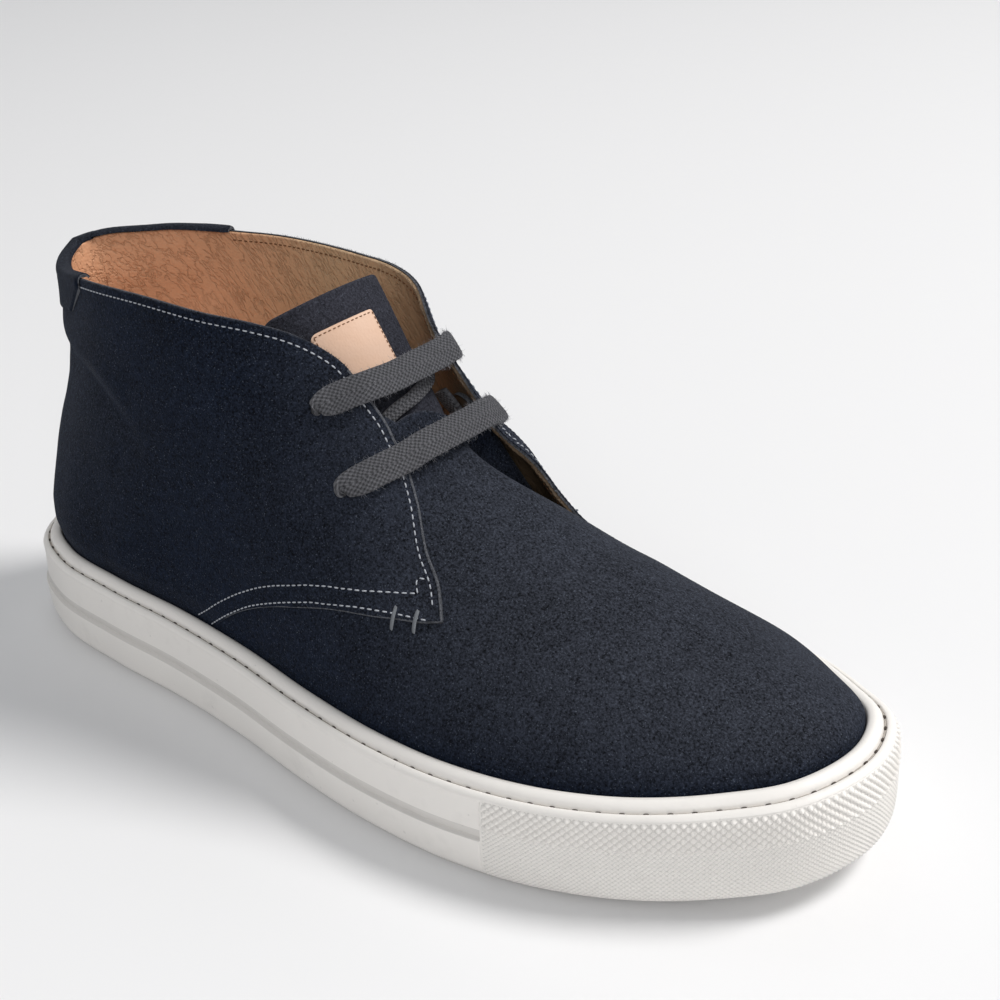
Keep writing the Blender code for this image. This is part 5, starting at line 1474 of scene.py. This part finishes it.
class SNEAKER_OT_heel_tab(bpy.types.Operator):
    """Suede tab folded over the back of the topline"""
    bl_idname = "sneaker.heel_tab"
    bl_label = "Heel tab"

    def execute(self, context):
        shell = Shell()
        rows = 44
        section = spaced([row[:2] for row in TAB_SECTION], rows)
        inner_section = spaced([row[2:] for row in TAB_SECTION], rows)
        for side in (LATERAL, MEDIAL):
            top_u, top_t = quarter_columns(side, TAB_COLUMNS, 40)[2:]
            outer, inner = [], []
            for (away, up), (in_away, in_up) in zip(section, inner_section):
                narrowing = max(0.0, -up - TAB_STRAIGHT) / (TAB_DROP - TAB_STRAIGHT) if away > 0 else 0.0
                u = np.linspace(0.0, TAB_END + (TAB_FOOT_END - TAB_END) * narrowing, TAB_COLUMNS)
                t = np.interp(u, top_u, top_t)
                rate = 0.01 / np.linalg.norm(last(side, u, t) - last(side, u, t - 0.01), axis=-1)
                end_gap = (u[-1] - u) / u[-1] * TAB_LENGTH
                fall = rounded(end_gap, 0.6) * np.sign(away)
                outer.append(tab_point(side, u, t, rate, away - fall, up))
                inner.append(tab_point(side, u, t, rate, in_away, in_up))
            outer, inner = np.array(outer), np.array(inner)
            flat = np.stack(np.meshgrid(np.linspace(0, TAB_LENGTH, TAB_COLUMNS), np.arange(rows) * 0.6), -1)
            shell.grid(outer, flat, flip=side == LATERAL)
            edge = np.stack([outer[:, -1], (outer[:, -1] + inner[:, -1]) / 2, inner[:, -1]], 1)
            shell.grid(edge, flip=side == LATERAL, kind=1)
            foot = np.stack([outer[0], (outer[0] + inner[0]) / 2, inner[0]], 0)
            shell.grid(foot, flip=side == MEDIAL, kind=1)
        tab = shell.build("heel_tab_suede", [tab_suede(), raw_edge()])
        dress(tab, "binding_suede", "heel_tab")
        return {"FINISHED"}


# --- Lace ---------------------------------------------------------------------------
def on_quarter(side, x, z):
    """Point of the quarter's outer face given in side view, and its outward normal."""
    u, t = locate(side, (x, z))
    return plain_quarter(side, u, t)[0], face_normal(plain_quarter, side, u, t)[0]


def lace_stations(table):
    rows = []
    for row in table:
        if len(row) == 3:
            centre, look, flat = row
            rows.append((np.array(centre), np.array(look), flat))
        else:
            side, x, z, off = row
            point, normal = on_quarter(side, x, z)
            rows.append((point + normal * off, normal, 1.0))
    return rows


def through(side, place, way):
    """Stations through a hole, outward for way 1 and inward for -1."""
    mouth, axis = on_quarter(side, *place)
    look = np.array((1.0, 0.0, 0.4))
    return [(mouth + axis * step, look, flat) for step, flat in HOLE_STEPS[::way]]


def lace_route():
    """Stations of the lace: centre, the way its flat face looks, and how flat it lies."""
    rows = lace_stations(LACE_START) + through(MEDIAL, EYELETS[1], 1)
    rows += lace_stations(LOWER_BAR) + through(LATERAL, EYELETS[1], -1)
    rows += [(place, look, flat * DIAGONAL_FLAT) for place, look, flat in lace_stations(DIAGONAL)]
    rows += through(MEDIAL, EYELETS[0], 1)
    rows += lace_stations(UPPER_BAR) + through(LATERAL, EYELETS[0], -1)
    return rows + lace_stations(LACE_FINISH)


class SNEAKER_OT_lace(bpy.types.Operator):
    """Flat braided lace through the eyelets"""
    bl_idname = "sneaker.lace"
    bl_label = "Lace"

    def execute(self, context):
        route = lace_route()
        centres, normals, flat = (np.array([row[k] for row in route]) for k in range(3))
        keys = run_lengths(centres)
        count = int(keys[-1] / LACE_STEP)
        at = np.linspace(0.0, keys[-1], count)
        centres, normals, flat = (smooth(keys, rows, at) for rows in (centres, normals, flat))
        flat = np.clip(flat, 0.0, 1.0)
        along = unit(np.gradient(centres, axis=0))
        normals = unit(normals - along * (normals * along).sum(1, keepdims=True))
        across = np.cross(normals, along)
        turn = np.linspace(0.0, 2.0 * math.pi, 49)
        wide = (LACE_NECK + (LACE_WIDTH - LACE_NECK) * flat**0.4)[:, None] / 2
        thick = (LACE_NECK + (LACE_THICKNESS - LACE_NECK) * flat)[:, None] / 2
        a = np.sign(np.cos(turn)) * np.abs(np.cos(turn))**0.75
        b = np.sign(np.sin(turn)) * np.abs(np.sin(turn))**0.6
        yarn_along = at[:, None] + np.abs(a) * wide * 0.9
        ribs = LACE_RIB * np.sin(yarn_along * LACE_YARN) * np.abs(b)
        points = (centres[:, None] + across[:, None] * (a * wide)[..., None] +
                  normals[:, None] * (b * (thick + ribs))[..., None])
        shell = Shell()
        shell.grid(points, np.stack([a * wide, np.broadcast_to(at[:, None], (count, len(turn)))], -1))
        for end, flip in ((0, True), (-1, False)):
            cap = np.stack([points[end], np.broadcast_to(centres[end], points[end].shape)], 0)
            shell.grid(cap, flip=flip)
        lace = shell.build("lace_braid", [lace_cotton()])
        dress(lace, "lace_cotton", "lace")
        draw = np.random.default_rng(5)
        likely = (flat > 0.7) * np.where(centres[:, 1] > 8.0, 3.0, 1.0)
        pick = draw.choice(count, LACE_HAIRS, p=likely / likely.sum())
        places = points[pick, draw.integers(0, len(turn), LACE_HAIRS)]
        ways = places - centres[pick]
        loose = Shell()
        hairs(loose, places, unit(ways), *LACE_FIBRE, draw)
        fuzz = loose.build("lace_fuzz", [thread("lace_fibre", "lace")], weld=0)
        dress(fuzz, "lace_cotton")
        return {"FINISHED"}


# --- Stage --------------------------------------------------------------------------
CAMERA_PLACE = (0.3025, -0.3104, 0.2813)        # metres
CAMERA_TURN = (26.53, 130.56, -2.625)           # how far it looks down, the way it looks, roll: degrees
CAMERA_LENS, CAMERA_SENSOR = 61.015, 36.0       # millimetres
SKY = ((0.96, 0.975, 1.0, 1.0), 0.37)           # colour and strength
LIGHTS_LOOK_AT = (0.0, 0.0, 0.05)
LIGHTS = (
    # name, place, size, power, tint
    ("key", (1.5, 1.5, 2.6), 1.2, 86.0, (1.0, 0.985, 0.97)),
    ("fill", (1.8, -1.9, 1.6), 1.6, 25.0, (1.0, 1.0, 1.0)),
    ("top", (-1.0, 0.9, 2.4), 1.6, 4.5, (0.98, 0.99, 1.0)),
)


class SNEAKER_OT_stage(bpy.types.Operator):
    """Pale floor, soft studio light and the camera"""
    bl_idname = "sneaker.stage"
    bl_label = "Stage"

    def execute(self, context):
        scene = context.scene
        lens = bpy.data.cameras.new("camera")
        camera = bpy.data.objects.new("camera", lens)
        scene.collection.objects.link(camera)
        elevation, azimuth, roll = (math.radians(angle) for angle in CAMERA_TURN)
        ahead = Vector((math.cos(elevation) * math.cos(azimuth), math.cos(elevation) * math.sin(azimuth),
                        -math.sin(elevation)))
        right = ahead.cross(Vector((0.0, 0.0, 1.0))).normalized()
        up = right.cross(ahead)
        turned_right = right * math.cos(roll) + up * math.sin(roll)
        turned_up = up * math.cos(roll) - right * math.sin(roll)
        placed = Matrix((turned_right, turned_up, -ahead)).transposed().to_4x4()
        placed.translation = Vector(CAMERA_PLACE)
        camera.matrix_world = placed
        lens.sensor_width = CAMERA_SENSOR
        lens.lens = CAMERA_LENS
        lens.dof.use_dof = False
        lens.clip_end = 100.0
        scene.camera = camera
        mesh = bpy.data.meshes.new("floor")
        shape = bmesh.new()
        bmesh.ops.create_grid(shape, x_segments=8, y_segments=8, size=6.0)
        shape.to_mesh(mesh)
        shape.free()
        floor = bpy.data.objects.new("floor", mesh)
        floor.location = (0.0, 0.0, -0.0002)
        scene.collection.objects.link(floor)
        mesh.materials.append(finish("pale_floor", "handling_marks",
                                     {"Colour": dye("floor"), "Dirt": dye("floor", 0.96), "Amount": 0.2},
                                     bump=(0.02, 0.0002), Specular_IOR_Level=0.2))
        world = bpy.data.worlds.new("studio")
        scene.world = world
        world.use_nodes = True
        sky = world.node_tree.nodes["Background"]
        sky.inputs["Color"].default_value, sky.inputs["Strength"].default_value = SKY
        scene.view_settings.view_transform = "Standard"
        for name, place, size, power, tint in LIGHTS:
            light = bpy.data.lights.new(name, "AREA")
            light.shape = "DISK"
            light.size = size
            light.energy = power
            light.color = tint
            lamp = bpy.data.objects.new(name, light)
            lamp.location = place
            aim = Vector(LIGHTS_LOOK_AT) - Vector(place)
            lamp.rotation_euler = aim.to_track_quat("-Z", "Y").to_euler()
            scene.collection.objects.link(lamp)
        return {"FINISHED"}


# --- Settings and panel -------------------------------------------------------------
def colour_setting(name, description, value):
    return bpy.props.FloatVectorProperty(name=name, description=description, default=value, size=3,
                                         min=0.0, max=1.0, subtype="COLOR")


class SneakerColours(bpy.types.PropertyGroup):
    suede: colour_setting("Suede", "Dye of the quarters and vamp", (0.0062, 0.0098, 0.0195))
    # Painted light: the colour painted on suede faces that look up, paler than the suede itself.
    suede_lit_top: colour_setting("Suede from above", "Painted light on faces that look up", (0.0265, 0.0295, 0.0385))
    fleck: colour_setting("Fleck", "Pale fibres in the nap", (0.13, 0.15, 0.19))
    cut_edge: colour_setting("Cut edge", "Raw edge of the suede", (0.085, 0.089, 0.10))
    tongue: colour_setting("Tongue", "Dye of the tongue", (0.036, 0.037, 0.048))
    lining: colour_setting("Lining", "Leather inside the front", (0.62, 0.42, 0.255))
    heel_lining: colour_setting("Heel lining", "Leather inside the heel", (0.80, 0.43, 0.25))
    patch: colour_setting("Patch", "Leather patch on the tongue", (0.76, 0.53, 0.40))
    rubber: colour_setting("Rubber", "Cupsole", (0.87, 0.84, 0.80))
    lace: colour_setting("Lace", "Cotton of the lace", (0.27, 0.272, 0.295))
    thread: colour_setting("Thread", "Stitches on the suede", (0.42, 0.44, 0.48))
    tack: colour_setting("Tack thread", "Bar tacks", (0.16, 0.17, 0.185))
    brown_thread: colour_setting("Brown thread", "Stitches on the patch", (0.20, 0.10, 0.05))
    sole_thread: colour_setting("Sole thread", "Stitches in the groove", (0.42, 0.385, 0.345))
    # Painted shade of the needle holes in the groove.
    needle_hole: colour_setting("Needle hole", "Dark marks between the stitches", (0.08, 0.065, 0.055))
    floor: colour_setting("Floor", "Studio floor", (0.83, 0.83, 0.835))


PIECES = ("quarters", "lining", "vamp", "stitching", "cupsole", "toe_band", "sole_stitching", "insole",
          "tongue", "patch", "heel_tab", "lace")


class SNEAKER_PT_pieces(bpy.types.Panel):
    """The sneaker's pieces and colours"""
    bl_label = "Mid-top sneaker"
    bl_space_type = "VIEW_3D"
    bl_region_type = "UI"
    bl_category = "Sneaker"

    def draw(self, context):
        layout = self.layout
        for name in PIECES + ("stage",):
            layout.operator("sneaker." + name)
        for name in SneakerColours.__annotations__:
            layout.prop(context.scene.sneaker_colours, name)


CLASSES = (SneakerColours, SNEAKER_OT_quarters, SNEAKER_OT_lining, SNEAKER_OT_vamp, SNEAKER_OT_stitching,
           SNEAKER_OT_cupsole, SNEAKER_OT_toe_band, SNEAKER_OT_sole_stitching, SNEAKER_OT_insole,
           SNEAKER_OT_tongue, SNEAKER_OT_patch, SNEAKER_OT_heel_tab, SNEAKER_OT_lace, SNEAKER_OT_stage,
           SNEAKER_PT_pieces)


def register():
    for kind in CLASSES:
        bpy.utils.register_class(kind)
    bpy.types.Scene.sneaker_colours = bpy.props.PointerProperty(type=SneakerColours)


def unregister():
    del bpy.types.Scene.sneaker_colours
    for kind in reversed(CLASSES):
        bpy.utils.unregister_class(kind)


def main():
    register()
    bpy.ops.sneaker.stage()
    for name in PIECES:
        getattr(bpy.ops.sneaker, name)()


if __name__ == "__main__":
    main()
